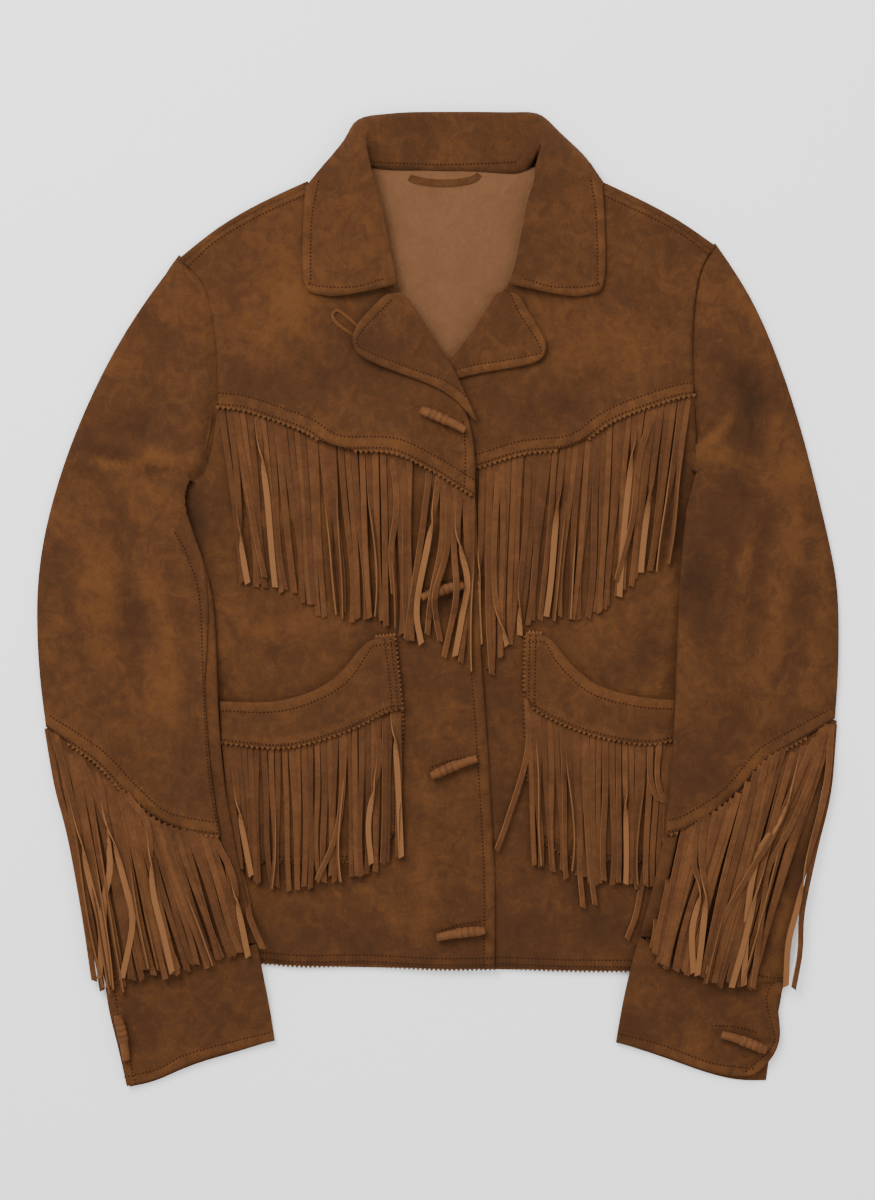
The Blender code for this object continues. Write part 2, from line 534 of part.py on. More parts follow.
def make_sleeve(side):
    """Under, upper and lower sleeve, fringe strip and cuff of one side."""
    left = side == "l"
    outer = smooth(OUTER_EDGE_L if left else OUTER_EDGE_R, 200)
    inner = smooth(INNER_EDGE_L if left else INNER_EDGE_R, 200)
    turn = 1.0 if left else -1.0
    armhole = armhole_line(side)
    seam = smooth(CUFF_SEAM_L if left else CUFF_SEAM_R, 8)
    pinked = smooth(PINKED_SLEEVE_L if left else PINKED_SLEEVE_R, 8)
    body = ("back", "front_" + side, "pocket_" + side, "pocket_band_" + side, "pocket_fringe_" + side)

    outer_fold = shifted(outer, turn * FOLD)
    outer_seam = shifted(outer, turn * (FOLD + SLEEVE_TUCK + 3 * SEAM))
    inner_fold = shifted(inner, -turn * FOLD)
    opened = eased((inner[0, 1] - inner[:, 1]) / UNDERARM)[:, None]
    inner_seam = shifted(inner, -turn * (FOLD + (SLEEVE_WRAP + 4 * SEAM) * opened))

    whole = panel_down(armhole, seam, outer, inner_fold, 10, 24)
    cuff_top, cuff_under = cuff_panels(side)
    floor = floor_under([whole, cuff_top, cuff_under], body)

    under = panel_down(armhole, seam, outer_seam, inner_fold, 6, 14)
    under_z = height_at(floor, under) + SUEDE / 2
    points = with_height(under, under_z)
    edge = points[:, -1]
    opened = eased((edge[0, 1] - edge[:, 1]) / UNDERARM)[:, None]
    rows = turned_over(edge, np.array([-turn, 0.0, 0.0]), FOLD, SLEEVE_WRAP * opened, up=1.0)
    wrapped = np.concatenate([points, np.stack(rows, axis=1)], axis=1)
    underarm = np.zeros((wrapped.shape[0] - 1, wrapped.shape[1] - 1), bool)
    shut = edge[:-1, 1] > edge[0, 1] - 0.7 * UNDERARM
    underarm[shut, under.shape[1] - 1:] = True
    sheet("sleeve_under_" + side, wrapped, SUEDE, SUEDE_FINISH, missing=underarm)

    split_outer = outer_fold[np.argmin(np.linalg.norm(outer - pinked[0], axis=1))]
    split_inner = inner_seam[np.argmin(np.linalg.norm(inner - pinked[-1], axis=1))]
    band = even(fitted(pinked, split_outer, split_inner), 7)
    arm = fitted(armhole, outer_fold[0], inner_seam[0])
    hem = fitted(seam, outer_fold[-1], inner_seam[-1])
    top = panel_between(arm, band, cut_at(outer_fold, outer_fold[0], split_outer),
                        cut_at(inner_seam, inner_seam[0], split_inner), 7, 11, UNDERARM_FAN)
    drop = band - (0, SEAM)
    foot = panel_between(drop, hem, cut_at(outer_fold, split_outer, outer_fold[-1]) - (0, SEAM),
                         cut_at(inner_seam, split_inner, inner_seam[-1]) - (0, SEAM), 7, 7)
    for name, places, lift in (("sleeve_upper_", top, SUEDE + AIR), ("sleeve_lower_", foot, 0.0)):
        across = np.linspace(0, 1, places.shape[1])[None, :]
        down = np.linspace(0, 1, places.shape[0])[:, None]
        bulge = PUFF * np.sin(math.pi * across) * np.ones_like(down)
        over_strip = lift * eased((down - 0.72) / 0.2) * eased(across / 0.15 + 0.25) * np.ones_like(across)
        z = height_at(floor, places) + SUEDE / 2 + 2 * FOLD + bulge + over_strip
        TOPS[name + side] = drawn(places, z + SUEDE / 2)
        points = with_height(places, z)
        edge = points[:, 0]
        radius = (edge[:, 2] - height_at(floor, edge) - SUEDE / 2) / 2
        rows = turned_over(edge, inward_of(edge, points[:, 1]), radius, SLEEVE_TUCK, up=-1.0)
        points = np.concatenate([np.stack(rows[::-1], axis=1), points], axis=1)
        sheet(name + side, points, SUEDE, SUEDE_FINISH)
    strip_top = np.maximum(TOPS["sleeve_lower_" + side], drawn(wrapped[..., :2], wrapped[..., 2] + SUEDE / 2))
    TOPS["sleeve_" + side] = strip_top

    make_cuff(side, floor, cuff_top, cuff_under)
    tips = smooth(SLEEVE_TIPS_L if left else SLEEVE_TIPS_R, 8)
    hang = panel_between(drop, tips, np.array([drop[0], tips[0]]), np.array([drop[-1], tips[-1]]), 7, 5)
    laid("sleeve_fringe_" + side, hang, ("sleeve_" + side, "cuff_" + side), FRINGE_FINISH)


def armhole_line(side):
    """A sleeve's top edge, from the shoulder tip down to where the underarm begins."""
    return smooth(SLEEVE_HEAD_L if side == "l" else SLEEVE_HEAD_R, 40)


def fitted(line, first, last):
    """A line stretched a little so that it starts and ends where it should."""
    t = np.linspace(0, 1, len(line))[:, None]
    return line + (1 - t)**6 * (np.array(first) - line[0]) + t**6 * (np.array(last) - line[-1])


def panel_between(high, low, outer, inner, across, down, gather=1.0):
    """A grid from an upper line down to a lower one, from the outer edge to the inner edge."""
    return panel(even(high, across), even(low, across), even(outer, down), even(inner, down, gather))


def panel_down(armhole, seam, outer, inner, across, down):
    """A sleeve layer's grid between its two edges."""
    return panel_between(fitted(armhole, outer[0], inner[0]), fitted(seam, outer[-1], inner[-1]),
                         outer, inner, across, down, UNDERARM_FAN)


def cuff_panels(side):
    """The grids of a cuff's upper layer and of the layer under it, from the outer end to the inner fold."""
    if side == "l":
        seam, hem, low_hem = CUFF_SEAM_L, CUFF_HEM_L, CUFF_UNDER_HEM_L
        outer, low_outer, inner = CUFF_OUTER_L, CUFF_UNDER_OUTER_L, CUFF_INNER_L
    else:
        seam, hem, low_hem = CUFF_SEAM_R, CUFF_HEM_R, CUFF_UNDER_HEM_R
        outer, low_outer, inner = CUFF_OUTER_R, CUFF_UNDER_OUTER_R, CUFF_INNER_R
    turn = 1.0 if side == "l" else -1.0
    seam = smooth(seam, 40) - (0, SEAM)
    fold = shifted(smooth(inner, 40), -turn * FOLD)
    upper = panel_between(fitted(seam, outer[0], fold[0]), fitted(smooth(hem, 40), hem[0], fold[-1]),
                          smooth(outer, 40), fold, 6, 4)
    lower = panel_between(fitted(seam, low_outer[0], fold[0]),
                          fitted(smooth(low_hem, 40), low_hem[0], fold[-1]), smooth(low_outer, 40), fold, 6, 4)
    return upper - (0, SEAM), lower - (0, SEAM)


def make_cuff(side, floor, upper, lower):
    """A cuff: one strip that lies under, folds at the inner edge and comes back over."""
    low_z = height_at(floor, lower) + SUEDE / 2
    bottom = with_height(lower, low_z)
    edge = bottom[:, -1]
    rows = turned_over(edge, inward_of(edge, bottom[:, -2]), FOLD, 0.5, up=1.0)
    high_z = height_at(floor, upper) + SUEDE / 2 + 2 * FOLD
    top = with_height(upper, high_z)
    TOPS["cuff_" + side] = drawn(upper, high_z + SUEDE / 2)
    points = np.concatenate([bottom, np.stack(rows[:-2], axis=1), top[:, ::-1]], axis=1)
    sheet("cuff_" + side, points, SUEDE, SUEDE_FINISH)


def make_toggle(name, start, end, on):
    """A rolled-leather toggle: a short tapered roll, thickest in its middle."""
    t = np.linspace(0, 1, 5)[:, None]
    line = np.array(start) * (1 - t) + np.array(end) * t
    wide = np.stack([shifted(line, -TOGGLE_RADIUS), line, shifted(line, TOGGLE_RADIUS)])
    floor = floor_under([wide], on, reach=8.0)
    z = height_at(floor, line).max() + TOGGLE_RADIUS
    curve = bpy.data.curves.new(name, "CURVE")
    curve.dimensions = "3D"
    curve.bevel_depth = TOGGLE_RADIUS * MM
    curve.bevel_resolution = 2
    curve.use_fill_caps = True
    spline = curve.splines.new("POLY")
    spline.points.add(len(line) - 1)
    for point, place, along in zip(spline.points, line, t[:, 0]):
        point.co = (place[0] * MM, place[1] * MM, z * MM, 1.0)
        point.radius = 0.86 + 0.14 * math.sin(math.pi * along)
    made = bpy.data.objects.new(name, curve)
    made.data.materials.append(LEATHER_FINISH)
    JACKET.objects.link(made)


def main():
    """Lay the whole jacket down, piece by piece."""
    make_collar_behind()
    make_back()
    keep_loft()
    make_strap("hanger_loop", HANGER_LOOP, HANGER_WIDTH, ("back",), SUEDE, 0.3)
    make_body()
    make_collar()
    for side in ("l", "r"):
        make_sleeve(side)
    for name, start, end, on in TOGGLES:
        make_toggle(name, start, end, on)


clear_scene()
JACKET = bpy.data.collections.new("fringed_suede_jacket")
bpy.context.scene.collection.children.link(JACKET)
SUEDE_FINISH = material("suede", SUEDE_BROWN, 0.9)
FRINGE_FINISH = material("cut_fringe_suede", FRINGE_BROWN, 0.92)
LEATHER_FINISH = material("rolled_leather", LEATHER_BROWN, 0.6)
main()
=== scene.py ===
"""Looks of a fringed suede jacket, laid flat on its back with its front up.

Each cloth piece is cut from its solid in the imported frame, smoothed and given the shared folds,
so that the layers move together. Fringe strands, stitches and toggles are laid on those pieces.
Tables are in millimetres: X to the right, Y to the collar, Z up.
"""

import math

import bmesh
import bpy
import numpy as np
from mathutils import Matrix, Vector
from mathutils.bvhtree import BVHTree


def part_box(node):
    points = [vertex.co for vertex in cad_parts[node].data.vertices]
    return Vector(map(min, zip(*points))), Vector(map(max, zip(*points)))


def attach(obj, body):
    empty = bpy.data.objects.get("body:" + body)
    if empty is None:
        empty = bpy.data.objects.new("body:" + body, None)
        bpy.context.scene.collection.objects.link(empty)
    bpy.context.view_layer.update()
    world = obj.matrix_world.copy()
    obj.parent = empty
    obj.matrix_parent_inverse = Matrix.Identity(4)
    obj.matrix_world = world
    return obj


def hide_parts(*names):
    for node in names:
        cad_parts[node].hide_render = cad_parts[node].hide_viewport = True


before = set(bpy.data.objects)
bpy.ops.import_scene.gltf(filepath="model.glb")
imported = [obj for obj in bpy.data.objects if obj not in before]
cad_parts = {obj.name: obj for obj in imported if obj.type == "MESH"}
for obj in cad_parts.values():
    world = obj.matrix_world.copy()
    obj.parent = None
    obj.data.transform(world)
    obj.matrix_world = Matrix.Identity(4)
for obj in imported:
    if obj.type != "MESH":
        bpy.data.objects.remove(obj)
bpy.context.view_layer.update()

MM = 0.001
CHANCE = np.random.default_rng(7)
FOLD_RUB_LIGHT_AND_SHADE = 0.12      # paler per mm a fold stands up, darker per mm of trough: rubbed nap plus painted light and shade
NAP_AND_SHADE_TONE = 0.54       # strength of the nap's clouds and the crease lines, which also hold painted light, shade and underarm shadows
NECK_MIDDLE = 4       # X of the middle of the back neck
COLLAR_CORNERS = ((-59, -3.0), (74, 2.0))     # X of the collar's upper corners, how far out each goes
STITCH_PITCH = 2.8
STITCH = (1.7, 1.5, 0.9)     # size along the row, across it and up
TOOTH_THICK = 1.1
TOOTH_SUNK = 0.62     # how far a tooth's middle is below the face of the cloth
STRAND_STEPS = 24
RING = 4              # corners round a strand
RINGS = 46            # steps along a toggle
SIDES = 20            # corners round a toggle
WRAP_FROM, WRAP_TO, WRAP_PITCH = 0.40, 0.93, 0.132     # the wraps round a toggle, as shares of its length
TOGGLE_ENDS = ((0.72, 0.5), (0.5, 0.1), (0.3, 0.4))    # rings in each end: share of its size, how far out
CUT_LEAN = 0.38       # how far a strand's cut sides lean out
PIECES = {}           # finished pieces by name
SURFACES = {}         # their surfaces, for laying things on them
WITH = {}             # stitches and teeth by the piece they are on

# --- Outlines that stitches, teeth and strands follow ---------------------------------------------------

PINKED_YOKE_L = ((-165.3, 145), (-147, 143), (-131, 138), (-101, 127), (-76, 113), (-35, 111), (-8, 99),
                 (9, 89), (27.5, 77))
PINKED_YOKE_R = ((1, 92), (31, 100), (64, 110), (102, 115), (132.5, 135), (173.5, 150), (192, 154))
PINKED_SLEEVE_L = ((-297, -96), (-259, -121), (-234, -147), (-208.5, -168), (-172.5, -176), (-154, -176))
PINKED_SLEEVE_R = ((300, -91), (267, -109), (247, -121), (222, -149), (190, -170), (170.6, -176))
PINKED_POCKET_L = ((-163, -107), (-121, -111), (-91.5, -106), (-61, -95), (-40, -84), (-27, -81))
PINKED_POCKET_R = ((65, -77), (87, -90), (118.5, -102), (154.5, -108), (178, -105))
POCKET_TOP_L = ((-164, -76), (-125, -77), (-98, -70.5), (-74, -57), (-60, -38), (-53, -28.5), (-33, -26))
POCKET_TOP_R = ((66, -24), (84, -26), (96, -44), (118.5, -64), (151.5, -73), (178, -75))
POCKET_FOOT_L = ((-166, -196), (-110, -197), (-70, -196.5), (-45, -189), (-30, -177))
POCKET_FOOT_R = ((70, -172), (81, -183), (104, -194), (140, -196), (178, -196))
POCKET_SIDE_L = ((-33, -26), (-27, -81), (-28.5, -130), (-30, -177))
POCKET_SIDE_R = ((66, -24), (65, -77), (67, -130), (70, -172))
HEM_L = ((-160, -272), (-133, -273), (-101, -275.5), (-55, -275), (0, -277.5), (42.5, -277))
HEM_R = ((15, -276), (45, -276.5), (90, -278.5), (143, -279), (182, -278))
CENTRE_L = ((42.5, -277), (42.5, -203), (36, -93), (31.5, -30), (29.3, 50), (28.5, 92))
YOKE_CENTRE_L = ((27.5, 77), (28.6, 110), (27, 134))
SHOULDER_L = ((-194, 257), (-173, 276), (-139, 296), (-97, 315))
SHOULDER_R = ((121.5, 315), (168.5, 293), (190, 280.5), (208, 266.5))
LAPEL_EDGE_L = ((27, 134), (19, 145), (3, 158), (-24, 168), (-55.5, 180.5), (-66, 188), (-66.5, 198),
                (-60, 208.5), (-40, 229))
LAPEL_EDGE_R = ((2, 163), (29, 170), (48, 173), (70, 177), (82, 181), (83.5, 190), (76, 204), (66.5, 218.5),
                (61, 231))
COLLAR_EDGE_L = ((-96, 315), (-101, 288), (-102, 246), (-99, 231), (-64, 228), (-40, 234))
COLLAR_EDGE_R = ((121, 315), (125, 288), (126, 246), (123, 231), (88, 228), (64, 234))
SLEEVE_INNER_L = ((-188, 55), (-178, 35), (-169, 2), (-165.5, -66), (-162, -125), (-155, -170))
SLEEVE_INNER_LOW_L = ((-154, -176), (-145, -220), (-136, -257))
SLEEVE_INNER_R = ((184, 43), (180, -30), (176, -111), (171, -170))
CUFF_SEAM_L = ((-250, -290), (-220, -280.5), (-175, -266.5), (-136, -257.5))
CUFF_SEAM_R = ((261, -287), (240, -284.5), (166, -263.5), (151.5, -252.5))
CUFF_HEM_L = ((-234, -365), (-209, -359), (-190, -349), (-163, -341), (-123, -331))
CUFF_HEM_R = ((236, -359), (207, -355), (186, -348), (164, -340), (134, -332.5))
CUFF_OUTER_L = ((-250, -290), (-247, -312), (-241, -334), (-234, -365))
CUFF_OUTER_R = ((261, -287), (253.5, -300), (258.5, -322), (259, -334), (251, -346), (236, -359))
CHEST_TIPS_L = ((-149, 16), (-120, 8), (-101, 1), (-82, -12), (-42, -16), (-13, -33), (7, -43), (26, -54))
CHEST_TIPS_R = ((36, -55), (59, -27), (77, -15), (112, -13), (139, 6), (152, 19), (174, 23))
SLEEVE_TIPS_L = ((-261, -283), (-252, -291), (-240, -293), (-221, -281), (-187, -277), (-147, -263),
                 (-131, -260))
SLEEVE_TIPS_R = ((240, -291), (222, -290), (200, -285), (178, -277), (158, -262))
POCKET_TIPS_L = ((-155, -199), (-125, -215.5), (-98, -214.5), (-61, -208), (-43, -199), (-30, -192))
POCKET_TIPS_R = ((73, -195), (88, -203), (117, -211), (150, -215), (172, -211))
HANGER_LOOP = ((-27, 325), (-22, 318), (-9, 314.5), (4, 313.6), (18, 314.6), (29, 318), (34, 325))
LAPEL_LOOP = ((-58, 195), (-66, 200.5), (-74, 206), (-78.5, 211), (-79, 215.5), (-75.5, 217.5), (-70, 214),
              (-63, 208), (-56, 202))

# --- Cloth pieces ---------------------------------------------------------------------------------------
# piece, finish, smoothing steps, cut width and length in m, cut area in m2, the pieces it rests on
CLOTH = (
    ("back", "inside_suede", 2, 0.412, 0.616, 0.218, ()),
    ("front_r", "suede", 3, 0.193, 0.445, 0.0759, ("back",)),
    ("yoke_r", "suede", 3, 0.204, 0.231, 0.0284, ("front_r", "back")),
    ("pocket_r", "suede", 3, 0.114, 0.167, 0.0148, ("front_r",)),
    ("pocket_band_r", "suede", 3, 0.122, 0.084, 0.0050, ("pocket_r",)),
    ("front_l", "suede", 3, 0.230, 0.435, 0.0851, ("back", "front_r")),
    ("yoke_l", "suede", 3, 0.218, 0.246, 0.0288, ("front_l", "back")),
    ("pocket_l", "suede", 3, 0.140, 0.166, 0.0179, ("front_l",)),
    ("pocket_band_l", "suede", 3, 0.140, 0.085, 0.0059, ("pocket_l",)),
    ("lapel_r", "suede", 3, 0.096, 0.042, 0.0032, ("yoke_r",)),
    ("lapel_l", "suede", 3, 0.104, 0.042, 0.0037, ("yoke_l",)),
    ("collar", "suede", 2, 0.400, 0.110, 0.0376, ("yoke_l", "yoke_r")),
    ("sleeve_under_l", "suede", 2, 0.158, 0.537, 0.0576, ()),
    ("sleeve_under_r", "suede", 2, 0.143, 0.544, 0.0519, ()),
    ("sleeve_upper_l", "suede", 3, 0.150, 0.433, 0.0429, ("sleeve_under_l",)),
    ("sleeve_upper_r", "suede", 3, 0.135, 0.441, 0.0368, ("sleeve_under_r",)),
    ("sleeve_lower_l", "suede", 3, 0.147, 0.194, 0.0162, ("sleeve_under_l",)),
    ("sleeve_lower_r", "suede", 3, 0.136, 0.197, 0.0164, ("sleeve_under_r",)),
    ("cuff_l", "suede", 3, 0.250, 0.090, 0.0183, ()),
    ("cuff_r", "suede", 3, 0.250, 0.090, 0.0182, ()),
)

# Folds: from, a place it passes, to; then half width, rise (below 0 for a trough).
FOLDS_BODY = (
    ((-150, 60), (-120, 62), (-95, 72), 9, 0.9),
    ((-150, -30), (-100, -22), (-60, -8), 12, 1.0),
    ((-155, -52), (-110, -46), (-70, -28), 9, -0.8),
    ((70, -120), (110, -128), (160, -120), 12, 0.6),
    ((-130, -225), (-80, -236), (-20, -228), 14, 1.0),
    ((-120, -250), (-60, -256), (10, -246), 10, -0.7),
    ((60, -232), (110, -240), (168, -232), 13, 0.9),
    ((-20, -60), (-16, -150), (-12, -240), 12, 0.8),
    ((55, 60), (60, -20), (52, -110), 12, 0.8),
    ((-140, 190), (-110, 215), (-100, 250), 16, 1.0),
    ((-60, 130), (-40, 150), (-10, 146), 12, -0.8),
    ((110, 180), (140, 215), (150, 255), 16, 1.0),
    ((60, 140), (95, 150), (140, 176), 13, -0.7),
    ((168, 40), (172, -20), (170, -60), 8, 1.0),
    ((-168, 70), (-166, 10), (-162, -50), 9, 1.0),
)
FOLDS_SLEEVES = (
    ((-262, 112), (-232, 104), (-192, 86), 6, -2.2),
    ((-266, 122), (-238, 117), (-200, 104), 8, 1.8),
    ((-250, 96), (-222, 86), (-196, 66), 7, 1.4),
    ((-285, 60), (-262, 20), (-250, -60), 12, 1.2),
    ((-250, 60), (-228, 0), (-222, -70), 10, -1.4),
    ((-232, 40), (-206, -20), (-200, -80), 9, 1.3),
    ((-205, 20), (-188, -40), (-184, -120), 8, -1.1),
    ((-280, -10), (-255, -60), (-220, -110), 9, -1.0),
    ((-240, 190), (-215, 170), (-190, 165), 12, 1.1),
    ((-230, 215), (-205, 200), (-185, 205), 8, -0.8),
    ((-262, -60), (-235, -96), (-205, -130), 9, 1.1),
    ((198, 118), (212, 126), (236, 120), 6, -2.0),
    ((196, 104), (215, 108), (244, 98), 8, 1.6),
    ((238, 60), (228, 20), (222, -40), 7, 1.5),
    ((250, 70), (244, 20), (238, -50), 7, -1.5),
    ((262, 60), (258, 0), (250, -60), 8, 1.4),
    ((212, 60), (206, 10), (206, -60), 8, -1.3),
    ((280, 40), (272, -20), (262, -80), 9, -1.1),
    ((200, -20), (196, -70), (192, -120), 9, 1.2),
    ((225, -70), (215, -110), (200, -145), 8, -1.0),
    ((215, 220), (232, 200), (240, 170), 10, 1.0),
    ((205, 190), (220, 175), (232, 150), 9, -0.9),
    ((-222, -190), (-200, -220), (-186, -255), 10, 1.2),
    ((-190, -200), (-170, -225), (-160, -255), 9, -1.0),
    ((200, -190), (214, -225), (222, -262), 9, 1.2),
    ((230, -190), (240, -220), (246, -262), 8, -1.0),
    ((-225, -300), (-190, -306), (-150, -296), 10, 0.7),
    ((150, -290), (190, -306), (230, -306), 10, 0.7),
)

# Sharp small creases where a sleeve buckles.
CREASES_SLEEVES = (
    ((-268, 108), (-246, 103), (-222, 103), 3.8, 1.3), ((-262, 100), (-244, 95), (-222, 95), 3.6, -1.0),
    ((-230, 102), (-210, 106), (-188, 104), 3.6, 1.1), ((-228, 92), (-208, 96), (-186, 95), 3.4, -0.7),
    ((-250, 86), (-236, 66), (-226, 40), 3.4, -0.8), ((-244, 90), (-228, 68), (-214, 48), 3.2, 0.8),
    ((-214, 80), (-204, 62), (-196, 40), 3.0, 0.7), ((-206, 44), (-196, 20), (-190, -10), 3.2, 0.7),
    ((-262, 30), (-246, 6), (-236, -22), 3.6, 0.6), ((-226, 18), (-212, -6), (-200, -34), 3.0, -0.7),
    ((-240, -8), (-226, -40), (-210, -62), 3.4, 0.7), ((-276, -30), (-262, -50), (-244, -66), 3.4, -0.6),
    ((-216, -58), (-204, -84), (-192, -104), 3.0, 0.6), ((-238, 158), (-220, 148), (-196, 150), 4.0, 0.6),
    ((197, 112), (208, 122), (224, 142), 3.6, 1.4), ((201, 104), (213, 113), (230, 132), 3.6, -1.1),
    ((226, 170), (236, 140), (240, 96), 4.5, -1.0), ((238, 180), (250, 150), (254, 100), 4.0, 0.8),
    ((214, 220), (228, 206), (238, 184), 3.4, -0.8), ((226, 232), (238, 216), (250, 192), 3.4, 0.7),
    ((208, 40), (206, 10), (203, -24), 3.0, -0.6), ((218, 46), (214, 10), (208, -36), 3.2, 0.8),
    ((226, 60), (222, 24), (214, -10), 3.2, -0.7), ((236, 52), (232, 14), (226, -24), 3.2, 0.7),
    ((192, -10), (198, -40), (206, -64), 3.2, 0.7), ((252, 20), (246, -20), (238, -54), 3.6, 0.6),
    ((268, 90), (278, 50), (280, 6), 4.0, -0.7), ((196, -64), (206, -90), (220, -110), 3.2, 0.6),
    ((192, -90), (202, -118), (212, -134), 3.2, -0.6),
)
CREASES_BODY = (
    ((-158, 52), (-146, 30), (-140, 4), 3.4, 0.6), ((-150, -40), (-128, -36), (-108, -26), 3.0, 0.6),
    ((-140, -60), (-110, -58), (-84, -44), 3.0, -0.5), ((-100, -10), (-76, -4), (-60, 2), 3.4, 0.5),
    ((-172, 40), (-168, 10), (-168, -30), 3.0, -0.6), ((-60, -216), (-30, -210), (0, -220), 3.6, 0.5),
    ((-140, -236), (-110, -230), (-84, -238), 3.6, 0.5), ((90, -236), (120, -230), (150, -238), 3.6, 0.5),
    ((-20, 60), (-14, 20), (-12, -20), 3.6, 0.5), ((-6, -60), (0, -90), (2, -120), 3.4, 0.6),
    ((60, -150), (56, -190), (60, -240), 3.6, 0.5), ((-150, 222), (-128, 236), (-112, 256), 3.6, 0.6),
    ((-146, 180), (-126, 176), (-104, 184), 3.6, 0.5), ((128, 230), (146, 214), (168, 210), 3.6, 0.5),
    ((90, 160), (112, 164), (132, 176), 3.4, -0.5), ((-80, 150), (-56, 142), (-30, 146), 3.6, 0.5),
)
# Lines along the creases, paler above 0 (rubbed nap and painted light on crests) and darker below (painted
# shade in troughs).
RUBBED_AND_SHADED = (
    ((-282, 118), (-240, 126), (-196, 122), 8, -0.45), ((-264, 106), (-236, 102), (-188, 104), 4.5, 0.75),
    ((-236, 98), (-212, 94), (-192, 96), 7, 0.35),
    ((-286, 96), (-270, 88), (-256, 92), 5, 0.3), ((-256, 84), (-240, 60), (-232, 20), 8, -0.25),
    ((-226, -20), (-214, -50), (-196, -70), 5, 0.3), ((-232, 30), (-216, 0), (-206, -30), 5, 0.25),
    ((-200, -50), (-212, -70), (-222, -76), 4, 0.25), ((-276, 30), (-264, -10), (-256, -60), 10, 0.12),
    ((-216, 180), (-206, 150), (-200, 120), 10, -0.15), ((197, 114), (210, 124), (222, 141), 4.0, 0.75),
    ((232, 190), (238, 150), (236, 80), 10, -0.38), ((210, 230), (222, 214), (236, 196), 7, -0.3),
    ((204, 34), (198, 10), (195, -12), 4, -0.5), ((246, 60), (240, 30), (232, 0), 8, -0.2),
    ((256, 130), (266, 90), (268, 40), 7, 0.22), ((286, 60), (290, 20), (288, -40), 6, 0.22),
    ((236, -30), (228, -60), (214, -96), 9, 0.15), ((-160, -30), (-120, -34), (-84, -20), 8, -0.25),
    ((-150, -16), (-110, -14), (-70, 4), 7, 0.2), ((-60, -252), (0, -246), (36, -240), 10, 0.1),
    ((-16, -60), (-8, -130), (-14, -210), 9, 0.12), ((48, 60), (46, -40), (44, -180), 8, -0.2),
    ((60, -236), (110, -246), (170, -240), 14, -0.2), ((-130, 250), (-116, 216), (-120, 180), 12, 0.12),
    ((-60, 168), (-96, 164), (-130, 170), 10, -0.2), ((150, 262), (170, 246), (184, 222), 9, 0.2),
    ((90, 150), (70, 148), (40, 132), 7, -0.2), ((96, 226), (108, 196), (104, 160), 14, 0.1),
)

# Clouds in the nap, and painted shadows: place, reach in X and Y, and how much lighter (or darker, below 0).
NAP_CLOUDS_AND_SHADOWS = (
    (-120, 230, 40, 50, 0.25), (-60, 175, 45, 25, -0.25), (-130, 165, 30, 30, -0.2), (0, 130, 30, 20, 0.12),
    (110, 200, 40, 55, 0.12), (60, 140, 40, 18, -0.2), (150, 240, 35, 30, -0.15), (165, 185, 20, 30, 0.2),
    (-120, 40, 40, 40, 0.1), (-120, -50, 45, 14, 0.3), (-75, -30, 40, 20, 0.1), (-10, -80, 20, 70, -0.12),
    (55, -60, 20, 70, -0.18), (-90, -240, 70, 22, -0.22), (-20, -235, 30, 30, 0.12),
    (100, -245, 70, 28, -0.35), (-240, 60, 35, 70, 0.22), (-285, 20, 20, 60, -0.1),
    # (-250, 110) below is painted shade in the left sleeve's crease; (-180, 60) on the next line is painted
    # shadow at the left underarm.
    (-215, 150, 35, 40, -0.15), (-250, 110, 30, 14, -0.3), (-200, -70, 25, 70, 0.15),
    (-255, -50, 30, 40, 0.1), (-180, 60, 12, 30, -0.8), (-200, 220, 20, 25, 0.2),
    (240, 130, 30, 60, -0.12), (262, 60, 26, 70, 0.2), (215, 20, 24, 50, -0.2), (250, -50, 30, 40, 0.15),
    (205, -110, 25, 40, -0.1), (225, 210, 20, 30, 0.15), (-190, -310, 40, 25, -0.12),
    # (188, 60) below is painted shadow at the right underarm, beside the sleeve's inner edge.
    (200, -310, 40, 20, -0.12), (188, 60, 9, 40, -0.5),
)

# --- Seams ----------------------------------------------------------------------------------------------

ARMHOLE_L = ((-181, 91.5), (-173.5, 99), (-168.5, 119), (-165.5, 155), (-166, 183), (-169, 212), (-175, 237),
             (-187.5, 253), (-194, 257))
ARMHOLE_R = ((194, 103), (195, 112), (194.2, 125), (193, 145), (191.5, 170), (191.5, 200), (193, 225),
             (196, 245), (202.5, 262), (208, 266.5))
INNER_EDGE_L = ((-176, 101), (-184.5, 93), (-190.5, 80), (-189, 61.5), (-178, 35), (-169, 2), (-165.5, -66),
                (-162, -125), (-154, -176))
INNER_EDGE_R = ((197, 112), (194, 98), (189.5, 80), (184, 43), (180, -30), (176, -111), (170.6, -176))
SHOULDER_SEAM_L = ((-190, 252), (-169, 271), (-135, 291), (-94, 309.5))
SHOULDER_SEAM_R = ((118, 309.5), (165, 287.5), (186, 275), (204, 261))
SIDE_TOP_L = ((-184, 40), (-187, 76), (-184, 88), (-181, 91.5))
SIDE_TOP_R = ((193.5, 50), (193, 96), (194, 104))

# Armholes: sleeve piece, line, side of the line that the sleeve is on, body pieces beside it.
ARMHOLES = (
    ("sleeve_upper_l", ARMHOLE_L, 1, ("yoke_l", "front_l", "back")),
    ("sleeve_upper_r", ARMHOLE_R, -1, ("yoke_r", "front_r", "back")),
)
# Inner sleeve seams: piece, fold line, side, and how much of the turned part is covered above and below.
SLEEVE_SEAMS = (
    ("sleeve_upper_l", INNER_EDGE_L, -1, 1.0, 0.0),
    ("sleeve_upper_r", INNER_EDGE_R, 1, 1.0, 1.0),
)
